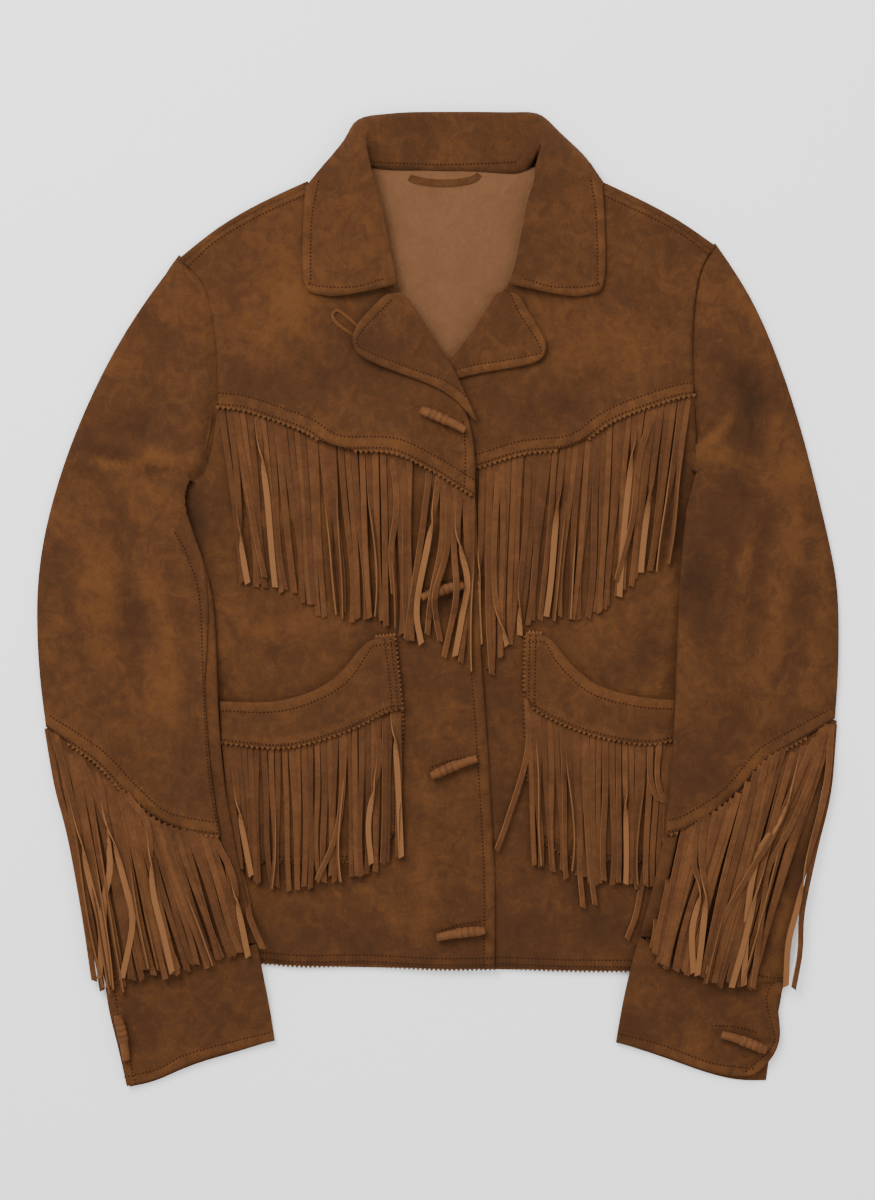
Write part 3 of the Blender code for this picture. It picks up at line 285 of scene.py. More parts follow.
# Edges drawn to a seam: piece, line, side, gap, how far beyond, how much lower there, reach.
DRAWN = (
    ("yoke_l", SHOULDER_SEAM_L, -1, 0.6, 1.2, -0.5, 6.0),
    ("yoke_r", SHOULDER_SEAM_R, -1, 0.6, 1.2, -0.5, 6.0),
    ("front_l", SIDE_TOP_L, -1, 0.0, 5.0, 0.0, 14.0),
    ("front_r", SIDE_TOP_R, 1, 0.0, 5.0, 0.0, 14.0),
    ("back", SIDE_TOP_L, -1, 0.0, 5.0, 0.0, 14.0),
    ("back", SIDE_TOP_R, 1, 0.0, 5.0, 0.0, 14.0),
    ("sleeve_lower_l", CUFF_SEAM_L, 1, 0.8, 2.4, 0.0, 9.0),
    ("sleeve_lower_r", CUFF_SEAM_R, -1, 0.8, 2.4, 0.0, 9.0),
)
# Sewn bands and edges: piece, line, side, width, how much they stand up, how much paler.
BANDS = (
    ("yoke_l", PINKED_YOKE_L, 1, 10.5, 0.5, 0.16), ("yoke_r", PINKED_YOKE_R, 1, 9.5, 0.5, 0.16),
    ("sleeve_upper_l", PINKED_SLEEVE_L, 1, 10.5, 0.5, 0.14),
    ("sleeve_upper_r", PINKED_SLEEVE_R, -1, 10.5, 0.5, 0.14),
    ("pocket_band_l", PINKED_POCKET_L, 1, 8.0, 0.3, 0.1),
    ("pocket_band_r", PINKED_POCKET_R, 1, 8.0, 0.3, 0.1),
    ("pocket_band_l", POCKET_TOP_L, -1, 8.5, 0.6, 0.16),
    ("pocket_band_r", POCKET_TOP_R, -1, 8.5, 0.6, 0.16),
    ("lapel_l", LAPEL_EDGE_L, -1, 6.5, 0.7, 0.14), ("lapel_r", LAPEL_EDGE_R, 1, 6.5, 0.7, 0.14),
    ("collar", COLLAR_EDGE_L, 1, 6.5, 0.6, 0.12), ("collar", COLLAR_EDGE_R, -1, 6.5, 0.6, 0.12),
    ("front_l", CENTRE_L, 1, 8.0, 0.7, 0.12), ("yoke_l", YOKE_CENTRE_L, 1, 8.0, 0.7, 0.12),
    ("front_l", HEM_L, 1, 8.0, 0.5, -0.05), ("front_r", HEM_R, 1, 8.0, 0.5, -0.05),
    ("cuff_l", CUFF_HEM_L, 1, 6.5, 0.6, 0.1), ("cuff_r", CUFF_HEM_R, -1, 6.5, 0.6, 0.1),
    ("cuff_l", CUFF_OUTER_L, 1, 6.5, 0.5, 0.1), ("cuff_r", CUFF_OUTER_R, -1, 6.5, 0.5, 0.1),
    ("yoke_l", SHOULDER_L, -1, 8.0, 0.4, 0.05), ("yoke_r", SHOULDER_R, -1, 8.0, 0.4, 0.05),
)

# Stitching: piece, line, rows of stitches (distance from the line, to its left above 0).
STITCHING = (
    ("yoke_l", PINKED_YOKE_L, (2.2, 10.5)),
    ("yoke_r", PINKED_YOKE_R, (2.2, 9.5)),
    ("sleeve_upper_l", PINKED_SLEEVE_L, (2.2, 10.5)),
    ("sleeve_upper_r", PINKED_SLEEVE_R, (-2.2, -10.5)),
    ("pocket_band_l", PINKED_POCKET_L, (2.4,)),
    ("pocket_band_r", PINKED_POCKET_R, (2.4,)),
    ("pocket_band_l", POCKET_TOP_L, (-7.0,)),
    ("pocket_band_r", POCKET_TOP_R, (-7.0,)),
    ("pocket_l", POCKET_SIDE_L, (-3.0, -7.5)),
    ("pocket_r", POCKET_SIDE_R, (3.0, 7.5)),
    ("pocket_band_l", POCKET_SIDE_L, (-3.0, -7.5)),
    ("pocket_band_r", POCKET_SIDE_R, (3.0, 7.5)),
    ("pocket_l", POCKET_FOOT_L, (4.0,)),
    ("pocket_r", POCKET_FOOT_R, (4.0,)),
    ("front_l", HEM_L, (3.2, 8.0)),
    ("front_r", HEM_R, (3.2, 8.0)),
    ("front_l", CENTRE_L, (8.0,)),
    ("yoke_l", YOKE_CENTRE_L, (8.0,)),
    ("yoke_l", SHOULDER_L, (-8.8,)),
    ("yoke_r", SHOULDER_R, (-8.8,)),
    ("lapel_l", LAPEL_EDGE_L, (-6.5,)),
    ("lapel_r", LAPEL_EDGE_R, (6.5,)),
    ("collar", COLLAR_EDGE_L, (6.5,)),
    ("collar", COLLAR_EDGE_R, (-6.5,)),
    ("sleeve_upper_l", SLEEVE_INNER_L, (-10.0,)),
    ("sleeve_lower_l", SLEEVE_INNER_LOW_L, (-10.0,)),
    ("sleeve_lower_l", CUFF_SEAM_L, (2.6,)),
    ("sleeve_lower_r", CUFF_SEAM_R, (-2.6,)),
    ("front_l", ((-4, -125), (12, -120), (31, -117)), (0.0,)),
    ("front_l", ((3, -248), (16, -244), (31, -241.5)), (0.0,)),
    ("front_l", ((-9, 9), (4, 13.5), (17, 17)), (0.0,)),
    ("cuff_r", ((209, -320), (224, -321), (239, -325)), (0.0,)),
    ("collar", ((-48, 329), (4, 327.5), (58, 329)), (0.0,)),
    ("cuff_l", CUFF_HEM_L, (6.5,)),
    ("cuff_r", CUFF_HEM_R, (-6.5,)),
    ("cuff_l", CUFF_OUTER_L, (6.5,)),
    ("cuff_r", CUFF_OUTER_R, (-6.5,)),
    ("hanger_loop", HANGER_LOOP, (1.5, -1.5)),
)

# Pinked edges: piece, line, side the teeth stand out on, tooth pitch and depth, how worn to the pale side.
PINKING = (
    ("yoke_l", PINKED_YOKE_L, -1, 3.9, 2.1, 0.4),
    ("yoke_r", PINKED_YOKE_R, -1, 3.9, 2.1, 0.4),
    ("sleeve_upper_l", PINKED_SLEEVE_L, -1, 3.9, 2.1, 0.4),
    ("sleeve_upper_r", PINKED_SLEEVE_R, 1, 3.9, 2.1, 0.4),
    ("pocket_band_l", PINKED_POCKET_L, -1, 3.9, 1.7, 0.4),
    ("pocket_band_r", PINKED_POCKET_R, -1, 3.9, 1.7, 0.4),
    ("pocket_band_l", ((-54, -28.6), (-43, -27), (-33, -26)), 1, 2.6, 1.8, 0.9),
    ("pocket_band_r", ((66, -24), (75, -24.5), (85, -26.5)), 1, 2.6, 1.8, 0.9),
    ("pocket_band_l", ((-33, -26), (-30, -54), (-27, -81)), 1, 3.4, 1.9, 0.5),
    ("pocket_band_r", ((66, -24), (65, -50), (65, -77)), -1, 3.4, 1.9, 0.5),
    ("pocket_l", POCKET_SIDE_L, 1, 3.4, 1.9, 0.25),
    ("pocket_r", POCKET_SIDE_R, -1, 3.4, 1.9, 0.25),
    ("pocket_l", POCKET_FOOT_L, -1, 3.4, 1.6, 0.2),
    ("pocket_r", POCKET_FOOT_R, -1, 3.4, 1.6, 0.2),
    ("front_l", HEM_L, -1, 3.4, 1.7, 0.1),
    ("front_r", HEM_R, -1, 3.4, 1.7, 0.1),
)

# Fringe: piece, node, what it lies on, head line, tips, strands, strand width, cut width and length in m.
FRINGES = (
    ("chest_strands_l", "chest_fringe_l", "front_l",
     PINKED_YOKE_L, CHEST_TIPS_L, 39, 5.3, 0.215, 0.150),
    ("chest_strands_r", "chest_fringe_r", "front_r",
     PINKED_YOKE_R[1:], CHEST_TIPS_R, 33, 5.2, 0.180, 0.150),
    ("pocket_strands_l", "pocket_fringe_l", "pocket_l",
     PINKED_POCKET_L, POCKET_TIPS_L, 28, 5.0, 0.140, 0.115),
    ("pocket_strands_r", "pocket_fringe_r", "pocket_r",
     PINKED_POCKET_R, POCKET_TIPS_R, 24, 5.0, 0.118, 0.120),
    ("sleeve_strands_l", "sleeve_fringe_l", "sleeve_lower_l",
     PINKED_SLEEVE_L, SLEEVE_TIPS_L, 34, 5.4, 0.170, 0.180),
    ("sleeve_strands_r", "sleeve_fringe_r", "sleeve_lower_r",
     PINKED_SLEEVE_R, SLEEVE_TIPS_R, 29, 5.4, 0.170, 0.190),
)
# Strands turned over to their pale side: the tip's X, and where the turn starts from the head (0 to 1).
TURNED = {
    "chest_strands_l": ((-142, 0.72), (-121, 0.28)),
    "chest_strands_r": ((60, 0.85), (80, 0.35), (137, 0.25), (150, 0.55)),
    "pocket_strands_r": ((140, 0.45),),
    "sleeve_strands_r": ((221, 0.6),),
}
# Where only the strands placed one by one hang: the tips' X, from and to.
LEFT_OUT = {
    "chest_strands_l": ((-15, 21),),
    "sleeve_strands_l": ((-262, -254), (-143, -130)),
    "sleeve_strands_r": ((237, 242), (189, 197)),
}
# Strands placed one by one: path, where it turns over (2 for never), how high it lies.
PLACED = {
    "chest_strands_l": (
        (((-154, 141), (-144.7, 97), (-137, 50), (-130, 17)), 2, 1.5),
        (((-35, 113), (-31, 72), (-35, 37), (-33, 4)), 2, 1.5),
        (((1, 97), (-4, 60), (-14, 10), (-16, -12), (-12.5, -33)), 0.3, 1.2),
        (((-6, 100), (-12, 50), (-19, 4), (-24, -30)), 2, 0.8),
        (((4, 95), (3, 45), (-5, 2), (-8, -26)), 2, 0.4),
        (((8, 92), (7, 40), (-2, 6), (-1.5, -12), (2, -31)), 2, 1.6),
        (((13, 88), (12, 40), (13.5, 2), (4.5, -43)), 2, 1.6),
        (((17, 86), (15, 50), (22, 15), (18, -12), (12.7, -42)), 0.35, 2.2),
        (((20, 83), (22, 30), (21, -10), (17, -47)), 2, 0.6),
    ),
    "chest_strands_r": (
        (((33, 104), (32, 40), (30, 0), (31.5, -34)), 0.6, 0.4),
        (((40, 104), (38, 40), (38, -15), (40.5, -56)), 2, 1.2),
        (((46, 106), (42, 40), (43.5, 0), (52, -34)), 0.9, 1.7),
        (((165, 147), (152, 110), (146, 60), (134, 14)), 2, 1.8),
    ),
    "pocket_strands_l": (
        (((-34, -83), (-31, -120), (-29, -160), (-27.5, -193)), 0.2, 1.2),
        (((-154, -110), (-152, -135), (-147, -170), (-140, -207)), 0.5, 1.6),
        (((-70, -100), (-72, -145), (-77, -178), (-91, -211)), 2, 1.7),
        (((-47, -88), (-44, -120), (-52, -165), (-50, -198)), 0.5, 1.4),
    ),
    "pocket_strands_r": (
        (((70, -80), (66, -120), (52, -166), (44, -188)), 2, 1.0),
        (((104, -98), (104, -150), (106, -196), (109, -231)), 2, 0.3),
        (((110, -99), (111, -150), (114, -196), (118, -229)), 2, 0.3),
        (((160, -104), (159, -129), (164, -147), (176, -152)), 2, 1.8),
        (((167, -104), (164.5, -128), (167, -144), (174, -150)), 2, 1.8),
    ),
    "sleeve_strands_l": (
        (((-294, -98), (-286, -140), (-276, -178), (-266, -232), (-258, -286)), 2, 1.0),
        (((-289, -101), (-272, -160), (-262, -208), (-253, -248), (-254, -284)), 0.45, 1.4),
        (((-272, -114), (-250, -160), (-234, -215), (-229, -242), (-237, -284)), 0.4, 1.8),
        (((-262, -120), (-251, -150), (-246, -198), (-251, -232), (-247, -290)), 0.3, 1.2),
        (((-234, -147), (-217, -170), (-213, -218), (-206, -248), (-199, -279)), 0.4, 1.7),
        (((-168, -178), (-154, -205), (-147.7, -238), (-142, -267)), 0.55, 1.8),
        (((-160, -178), (-148, -208), (-141, -236), (-131, -261)), 2, 1.4),
    ),
    "sleeve_strands_r": (
        (((286, -98), (273, -128), (262, -152), (252, -174), (232, -206), (213, -240),
         (202, -281)), 2, 1.8),
        (((292, -96), (282, -129), (264, -171), (248, -200), (244, -228), (240, -260),
         (236, -291)), 2, 1.5),
        (((276, -104), (270, -130), (256, -165), (240, -190), (232, -230), (229, -289)), 0.25, 1.2),
        (((196, -165), (191, -195), (196.5, -216), (190, -246), (191, -279)), 0.5, 1.6),
        (((201, -162), (197, -190), (200, -221), (197, -255), (194, -281)), 0.5, 1.8),
        (((296, -95), (291, -142), (275, -206), (270, -230), (263, -257), (261, -290)), 0.6, 1.4),
        (((298, -95), (293, -146), (283, -188), (273.5, -234), (272, -264), (267, -292)), 2, 0.6),
        (((173, -177), (160, -189), (154, -210), (149, -236), (142, -255)), 2, 1.0),
        (((177, -176), (168, -200), (164, -230), (157, -262)), 2, 0.8),
    ),
}

# Loops: piece, path, width, the piece below, tone, how deep its ends go down to the seam,
# cut width and length in m, cut area in m2.
LOOPS = (
    ("hanger_loop", HANGER_LOOP, 6.2, "back", 0.05, 2.4, 0.066, 0.013, 0.00043),
    ("lapel_loop", LAPEL_LOOP, 2.6, "yoke_l", 0.4, 0.0, 0.060, 0.010, 0.0002),
)

# Toggles: piece and the places of its two ends.
TOGGLES = (
    ("toggle_1", (-13, 142), (20, 127)),
    ("toggle_2", (-12, 2), (19, 11)),
    ("toggle_3", (-5, -132), (29, -119)),
    ("toggle_4", (-0.6, -253), (35, -248)),
    ("cuff_toggle_l", (-240.5, -312), (-234, -345)),
    ("cuff_toggle_r", (213, -326), (246, -338)),
)


# --- Materials ------------------------------------------------------------------------------------------

def linear(code):
    """A colour such as "#6b4a2c" as linear light, with alpha 1."""
    out = []
    for k in (1, 3, 5):
        c = int(code[k:k + 2], 16) / 255
        out.append(c / 12.92 if c <= 0.04045 else ((c + 0.055) / 1.055)**2.4)
    return (*out, 1.0)


def node(tree, kind, links=None, **settings):
    """Add a shader node; settings are its options, links its inputs by name or number."""
    made = tree.nodes.new(kind)
    for name, value in settings.items():
        setattr(made, name, value)
    for socket, value in (links or {}).items():
        if isinstance(value, bpy.types.NodeSocket):
            tree.links.new(value, made.inputs[socket])
        else:
            made.inputs[socket].default_value = value
    return made


def material(name):
    """A new material, with its node tree and its shader."""
    made = bpy.data.materials.new(name)
    made.use_nodes = True
    return made, made.node_tree, made.node_tree.nodes["Principled BSDF"]


def suede(name, dark, middle, light, pale, cloud_mm, contrast, sheen):
    """Split leather with a brushed nap: matt, cloudy where the nap lies different ways, with a soft sheen."""
    made, tree, shader = material(name)
    place = node(tree, "ShaderNodeTexCoord").outputs["Object"]
    tone = node(tree, "ShaderNodeAttribute", attribute_name="tone").outputs["Fac"]
    flesh = node(tree, "ShaderNodeAttribute", attribute_name="flesh").outputs["Fac"]
    # Clouds, smears a fingertip wide, brush strokes 6.5 mm wide and pale scuffs 4.2 mm wide.
    cloud = node(tree, "ShaderNodeTexNoise", {"Vector": place, "Scale": 1000 / cloud_mm, "Detail": 9.0,
                                              "Roughness": 0.62, "Distortion": 0.3}).outputs["Fac"]
    smear = node(tree, "ShaderNodeTexNoise", {"Vector": place, "Scale": 1000 / 14.0, "Detail": 9.0,
                                              "Roughness": 0.66, "Distortion": 1.1}).outputs["Fac"]
    brushed = node(tree, "ShaderNodeMapping", {"Vector": place, "Rotation": (0.0, 0.0, 0.5),
                                               "Scale": (1.0, 0.5, 1.0)}).outputs[0]
    streak = node(tree, "ShaderNodeTexNoise", {"Vector": brushed, "Scale": 1000 / 6.5, "Detail": 6.0,
                                               "Roughness": 0.66, "Distortion": 0.6}).outputs["Fac"]
    turned = node(tree, "ShaderNodeMapping", {"Vector": place, "Rotation": (0.0, 0.0, 0.9),
                                              "Scale": (1.0, 0.42, 1.0)}).outputs[0]
    scuff = node(tree, "ShaderNodeTexNoise", {"Vector": turned, "Scale": 1000 / 4.2, "Detail": 4.0,
                                              "Roughness": 0.6, "Distortion": 2.2}).outputs["Fac"]
    scratch = node(tree, "ShaderNodeMapRange", {"Value": scuff, 1: 0.60, 2: 0.76, 3: 0.0, 4: 0.26}).outputs[0]
    # Tufts and fibres of the nap are finer than 1.5 and 0.5 mm: they are as coarse here as they need to show.
    nap = node(tree, "ShaderNodeTexNoise", {"Vector": place, "Scale": 1000 / 1.5, "Detail": 3.0,
                                            "Roughness": 0.75}).outputs["Fac"]
    fibre = node(tree, "ShaderNodeTexNoise", {"Vector": place, "Scale": 1000 / 0.5,
                                              "Detail": 1.0}).outputs["Fac"]
    mixed = node(tree, "ShaderNodeMath", {0: streak, 1: 0.20}, operation="MULTIPLY").outputs[0]
    mixed = node(tree, "ShaderNodeMath", {0: smear, 1: 0.46, 2: mixed}, operation="MULTIPLY_ADD").outputs[0]
    mixed = node(tree, "ShaderNodeMath", {0: cloud, 1: 0.34, 2: mixed}, operation="MULTIPLY_ADD").outputs[0]
    spread = node(tree, "ShaderNodeMapRange", {"Value": mixed, 1: 0.5 - contrast,
                                               2: 0.5 + contrast}).outputs[0]
    # The tone attribute adds the painted light and shade on folds and creases and the painted underarm
    # shadows, with the nap's clouds and rubbing.
    shifted = node(tree, "ShaderNodeMath", {0: spread, 1: tone}, operation="ADD").outputs[0]
    shifted = node(tree, "ShaderNodeMath", {0: shifted, 1: scratch}, operation="ADD").outputs[0]
    tufted = node(tree, "ShaderNodeMath", {0: nap, 1: 0.46, 2: shifted}, operation="MULTIPLY_ADD").outputs[0]
    tufted = node(tree, "ShaderNodeMath", {0: tufted, 1: 0.08}, operation="SUBTRACT").outputs[0]
    ramp = node(tree, "ShaderNodeValToRGB", {"Fac": tufted})
    steps = ramp.color_ramp.elements
    steps[0].position = 0.12
    steps[0].color = linear(dark)
    steps[1].color = linear(light)
    steps.new(0.6).color = linear(middle)
    nap_side = ramp.outputs["Color"]
    colour = node(tree, "ShaderNodeMix", {0: flesh, 6: nap_side, 7: linear(pale)}, data_type="RGBA")
    tree.links.new(colour.outputs[2], shader.inputs["Base Color"])
    relief = node(tree, "ShaderNodeBump", {"Strength": 0.35, "Distance": 0.0003, "Height": fibre}).outputs[0]
    relief = node(tree, "ShaderNodeBump", {"Strength": 0.45, "Distance": 0.0012, "Height": nap,
                                           "Normal": relief}).outputs[0]
    relief = node(tree, "ShaderNodeBump", {"Strength": 0.22, "Distance": 0.004, "Height": smear,
                                           "Normal": relief}).outputs[0]
    tree.links.new(relief, shader.inputs["Normal"])
    shader.inputs["Roughness"].default_value = 0.95
    shader.inputs["Specular IOR Level"].default_value = 0.18
    shader.inputs["Sheen Weight"].default_value = sheen
    shader.inputs["Sheen Roughness"].default_value = 0.45
    shader.inputs["Sheen Tint"].default_value = linear("#ba7c46")
    return made


def thread():
    """Waxed polyester thread, dark red-brown: small darker dots along every seam."""
    made, tree, shader = material("waxed_thread")
    place = node(tree, "ShaderNodeTexCoord").outputs["Object"]
    # The thread's plies are finer than 0.8 mm: they are as coarse here as they need to show.
    twist = node(tree, "ShaderNodeTexNoise", {"Vector": place, "Scale": 1000 / 0.8})
    ramp = node(tree, "ShaderNodeValToRGB", {"Fac": twist.outputs["Fac"]})
    ramp.color_ramp.elements[0].color = linear("#241206")
    ramp.color_ramp.elements[1].color = linear("#351c0c")
    tree.links.new(ramp.outputs["Color"], shader.inputs["Base Color"])
    shader.inputs["Roughness"].default_value = 0.9
    shader.inputs["Specular IOR Level"].default_value = 0.1
    return made


# Suedes: finish, material, dark, middle, light and pale colours, clouds in mm, contrast, sheen.
SUEDES = (
    ("suede", "brushed_suede", "#2b1707", "#3c220d", "#4f2f14", "#613f22", 42.0, 0.24, 0.12),
    ("inside_suede", "inside_suede", "#4d311d", "#593b24", "#64452e", "#64452e", 60.0, 0.40, 0.10),
    ("cut_fringe_suede", "cut_fringe_suede", "#2e1a0b", "#452812", "#56351b", "#6a4628", 30.0, 0.28, 0.10),
    ("rolled_leather", "rolled_leather", "#2d180b", "#4c2d16", "#613c20", "#6e4b2d", 14.0, 0.30, 0.08),
)
FINISHES = {finish: suede(*how) for finish, *how in SUEDES}
FINISHES["thread"] = thread()


# --- Curves, folds and surfaces -------------------------------------------------------------------------

def smooth_line(points, pitch):
    """A smooth line through the points, in equal steps of about the given length."""
    knots = np.array(points, float)
    ends = np.vstack([2 * knots[0] - knots[1], knots, 2 * knots[-1] - knots[-2]])
    t = np.linspace(0, 1, 16, endpoint=False)[:, None]
    run = []
    for i in range(len(knots) - 1):
        a, b, c, d = ends[i:i + 4]
        run.append((2 * t**3 - 3 * t**2 + 1) * b + (t**3 - 2 * t**2 + t) * (c - a) / 2
                   + (3 * t**2 - 2 * t**3) * c + (t**3 - t**2) * (d - b) / 2)
    run = np.vstack(run + [knots[-1:]])
    length = np.concatenate([[0], np.cumsum(np.linalg.norm(np.diff(run, axis=0), axis=1))])
    steps = max(2, round(length[-1] / pitch))
    wanted = np.linspace(0, length[-1], steps + 1)
    return np.stack([np.interp(wanted, length, run[:, k]) for k in (0, 1)], axis=1)


def beside(run, distance):
    """The line moved sideways, to its left for a positive distance."""
    along = np.gradient(run, axis=0)
    along /= np.linalg.norm(along, axis=1)[:, None]
    return run + np.reshape(distance, (-1, 1)) * np.stack([-along[:, 1], along[:, 0]], axis=1)


def folds(table, x, y):
    """How far the folds in a table lift the cloth at each place, in mm."""
    rise = np.zeros_like(x)
    for number, (start, through, end, wide, tall) in enumerate(table):
        start, through, end = (np.array(p, float) for p in (start, through, end))
        t = np.linspace(0, 1, 17)[:, None]
        line = (1 - t)**2 * start + 2 * t * (1 - t) * (2 * through - (start + end) / 2) + t**2 * end
        near = ((x > line[:, 0].min() - 3 * wide) & (x < line[:, 0].max() + 3 * wide)
                & (y > line[:, 1].min() - 3 * wide) & (y < line[:, 1].max() + 3 * wide))
        away = np.hypot(x[near, None] - line[None, :, 0], y[near, None] - line[None, :, 1])
        nearest = away.argmin(axis=1)
        along = nearest / 16
        swell = np.sin(math.pi * np.clip(0.06 + 0.88 * along, 0, 1))**0.8
        swell = swell * (1 + 0.25 * np.sin(7 * along + number))
        rise[near] += tall * swell * np.exp(-(away.min(axis=1) / wide)**2)
    return rise


def ripple(x, y):
    """Slight unevenness of hand, in mm, over all the cloth."""
    out = np.zeros_like(x)
    for k in range(9):
        angle = 0.7 + 2.4 * k
        length = 26 + 9 * k
        along = x * math.cos(angle) + y * math.sin(angle)
        out += np.sin(along * 2 * math.pi / length + 1.7 * k) * (0.05 + 0.012 * k)
    return out


def clouds(x, y):
    """How the nap is brushed lighter or darker at each place, with painted shadow at the underarms and in the
    left sleeve's crease.
    """
    out = np.zeros_like(x)
    for cx, cy, rx, ry, amount in NAP_CLOUDS_AND_SHADOWS:
        out += amount * np.exp(-((x - cx) / rx)**2 - ((y - cy) / ry)**2)
    return out


def linked(name, data):
    """A new object in the scene that holds the data."""
    made = bpy.data.objects.new(name, data)
    bpy.context.scene.collection.objects.link(made)
    return made


def finished(name, mesh, finish, nodes=()):
    """A finished piece: its finish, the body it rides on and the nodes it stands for."""
    made = linked(name, mesh)
    if not mesh.materials:
        mesh.materials.append(FINISHES[finish])
    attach(made, "root")
    if nodes:
        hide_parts(*nodes)
    return made


def places_of(mesh):
    """A mesh's vertices as an array, in mm."""
    out = np.empty(len(mesh.vertices) * 3)
    mesh.vertices.foreach_get("co", out)
    return out.reshape(-1, 3) / MM


def set_places(mesh, places):
    """Put the vertices where the array says, in mm."""
    mesh.vertices.foreach_set("co", (places * MM).ravel())
    mesh.update()


def give(mesh, name, values, domain="POINT"):
    """Store one number for each vertex or face."""
    layer = mesh.attributes.new(name, "FLOAT", domain)
    layer.data.foreach_set("value", np.asarray(values, float))


def shade(mesh, smooth):
    """Shade every face smooth, or flat."""
    mesh.polygons.foreach_set("use_smooth", np.full(len(mesh.polygons), smooth))


def cut_cloth(name, steps):
    """A piece of cloth from its solid: merged, made into quads and smoothed, with crisp cut edges."""
    bm = bmesh.new()
    bm.from_mesh(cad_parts[name].data)
    bmesh.ops.remove_doubles(bm, verts=bm.verts, dist=0.00002)
    bmesh.ops.join_triangles(bm, faces=bm.faces, angle_face_threshold=0.6, angle_shape_threshold=2.8)
    bmesh.ops.recalc_face_normals(bm, faces=bm.faces)
    crease = bm.edges.layers.float.new("crease_edge")
    for edge in bm.edges:
        if edge.calc_face_angle(0) > 1.2:
            edge[crease] = 1.0
    coarse = bpy.data.meshes.new(name + "_cut")
    bm.to_mesh(coarse)
    bm.free()
    carrier = linked(name + "_carrier", coarse)
    rounding = carrier.modifiers.new("rounding", "SUBSURF")
    rounding.levels = rounding.render_levels = steps
    seen = carrier.evaluated_get(bpy.context.evaluated_depsgraph_get())
    mesh = bpy.data.meshes.new_from_object(seen)
    bpy.data.objects.remove(carrier)
    bpy.data.meshes.remove(coarse)
    return mesh


def surface_of(mesh):
    """A tree for finding the height of a piece at a place."""
    bm = bmesh.new()
    bm.from_mesh(mesh)
    tree = BVHTree.FromBMesh(bm)
    bm.free()
    return tree


def height_on(trees, x, y):
    """The highest of the given surfaces at a place, in mm, with its upward direction."""
    best = None
    for tree in trees:
        hit, normal, _, _ = tree.ray_cast(Vector((x * MM, y * MM, 0.1)), Vector((0, 0, -1)))
        if hit is not None and (best is None or hit.z / MM > best[0]):
            best = (hit.z / MM, normal)
    return best


def near_line(co, line, side):
    """Each place's distance from a line, above 0 on the given side, its nearest step, the way outwards
    and how far it lies past the line's ends.
    """
    along = np.gradient(line, axis=0)
    along /= np.linalg.norm(along, axis=1)[:, None]
    square = side * np.stack([-along[:, 1], along[:, 0]], axis=1)
    away = co[:, None, :2] - line[None]
    nearest = np.hypot(away[..., 0], away[..., 1]).argmin(axis=1)
    offset = co[:, :2] - line[nearest]
    signed = np.sum(offset * square[nearest], axis=1)
    past = np.abs(np.sum(offset * along[nearest], axis=1))
    return signed, nearest, square[nearest], past


def draw_to(co, line, side, edge, beyond, drop, reach):
    """Draw a piece's edge to a seam line and a little beyond, and lower it there by drop.

    Edge, beyond and drop may hold one number for each step of the line.
    """
    signed, nearest, out, past = near_line(co, line, side)
    close = (signed < 40) & (past < 5)
    edge = np.broadcast_to(edge, len(line))[nearest]
    beyond = np.broadcast_to(beyond, len(line))[nearest]
    move = (edge + beyond) * np.exp(-(np.clip(signed - edge, 0, None) / reach)**2) * close
    co[:, :2] -= out * move[:, None]
    left = np.clip(signed - move, 0, None)
    co[:, 2] -= np.broadcast_to(drop, len(line))[nearest] * np.exp(-(left / (0.7 * reach))**2) * close


def set_in(co, mesh, points, side, body):
    """Set a sleeve head in: its edge comes down and just under the body's edge, all along the armhole."""
    line = smooth_line(points, 3.0)
    inside = beside(line, -side * 2.0)
    outside = beside(line, side * 6.0)
    sleeve = surface_of(mesh)
    gap = []
    for (ax, ay), (bx, by) in zip(inside, outside):
        low = height_on([SURFACES[name] for name in body], ax, ay)
        high = height_on((sleeve,), bx, by)
        gap.append(high[0] - low[0] + 1.5 if low and high else gap[-1] if gap else 3.0)
    gap = np.convolve(np.pad(gap, 3, mode="edge"), np.ones(7) / 7, mode="valid")
    draw_to(co, line, side, 3.6, 1.6, np.maximum(gap, 0), 10.0)


def edge_cushion(co, rise, tone):
    """Sewn bands and edges stand up a little between the cut edge and the stitches, and are rubbed paler."""
    for line, side, wide, tall, pale in rise:
        signed, _, _, past = near_line(co, smooth_line(line, 2.0), side)
        inside = (signed > -1) & (signed < wide + 8) & (past < 3)
        swell = np.sin(math.pi * np.clip(signed / wide, 0, 1))**0.7
        trough = np.exp(-((signed - wide) / 1.8)**2)
        co[:, 2] += inside * (tall * swell - 0.5 * tall * trough)
        tone += inside * pale * np.clip((wide + 1 - signed) / 2, 0, 1)


def turn_in(co, inner, side, top, low):
    """Turn a sleeve's inner edge to its fold line; it opens out below the armhole."""
    line = smooth_line(inner, 3.0)
    opened = np.clip((line[0, 1] - line[:, 1]) / 50.0, 0, 1)
    opened = opened * opened * (3 - 2 * opened)
    cover = np.interp(line[:, 1], (-60.0, 30.0), (low, top))
    turned = 1.8 + 8.0 * opened
    lap = turned * cover + 0.8 * (1 - cover)
    draw_to(co, beside(line, side * turned), side, 2.4 * opened, lap, -0.9, 12.0)


def shape_collar(co):
    """Draw the collar's back edge down to the neck seam, keep its outer ends in and fill its corners."""
    x, y, z = co.T
    gap = np.clip(4.8 * ((x - NECK_MIDDLE) / 50)**2, 0, 5.5) + 0.6
    gap = gap * np.clip((350 - y) / 22, 0, 1) * np.clip((y - 300) / 16, 0, 1)
    y -= gap * (np.abs(x - NECK_MIDDLE) < 68) * (z > 3)
    high = y > 311
    x[high] = np.clip(x[high], -98 + 0.85 * (y[high] - 312), 124 - 0.7 * (y[high] - 314))
    for corner_x, outwards in COLLAR_CORNERS:
        corner = np.exp(-((x - corner_x) / 15)**2 - ((y - 360) / 13)**2)
        x += outwards * corner
        y += 4.0 * corner


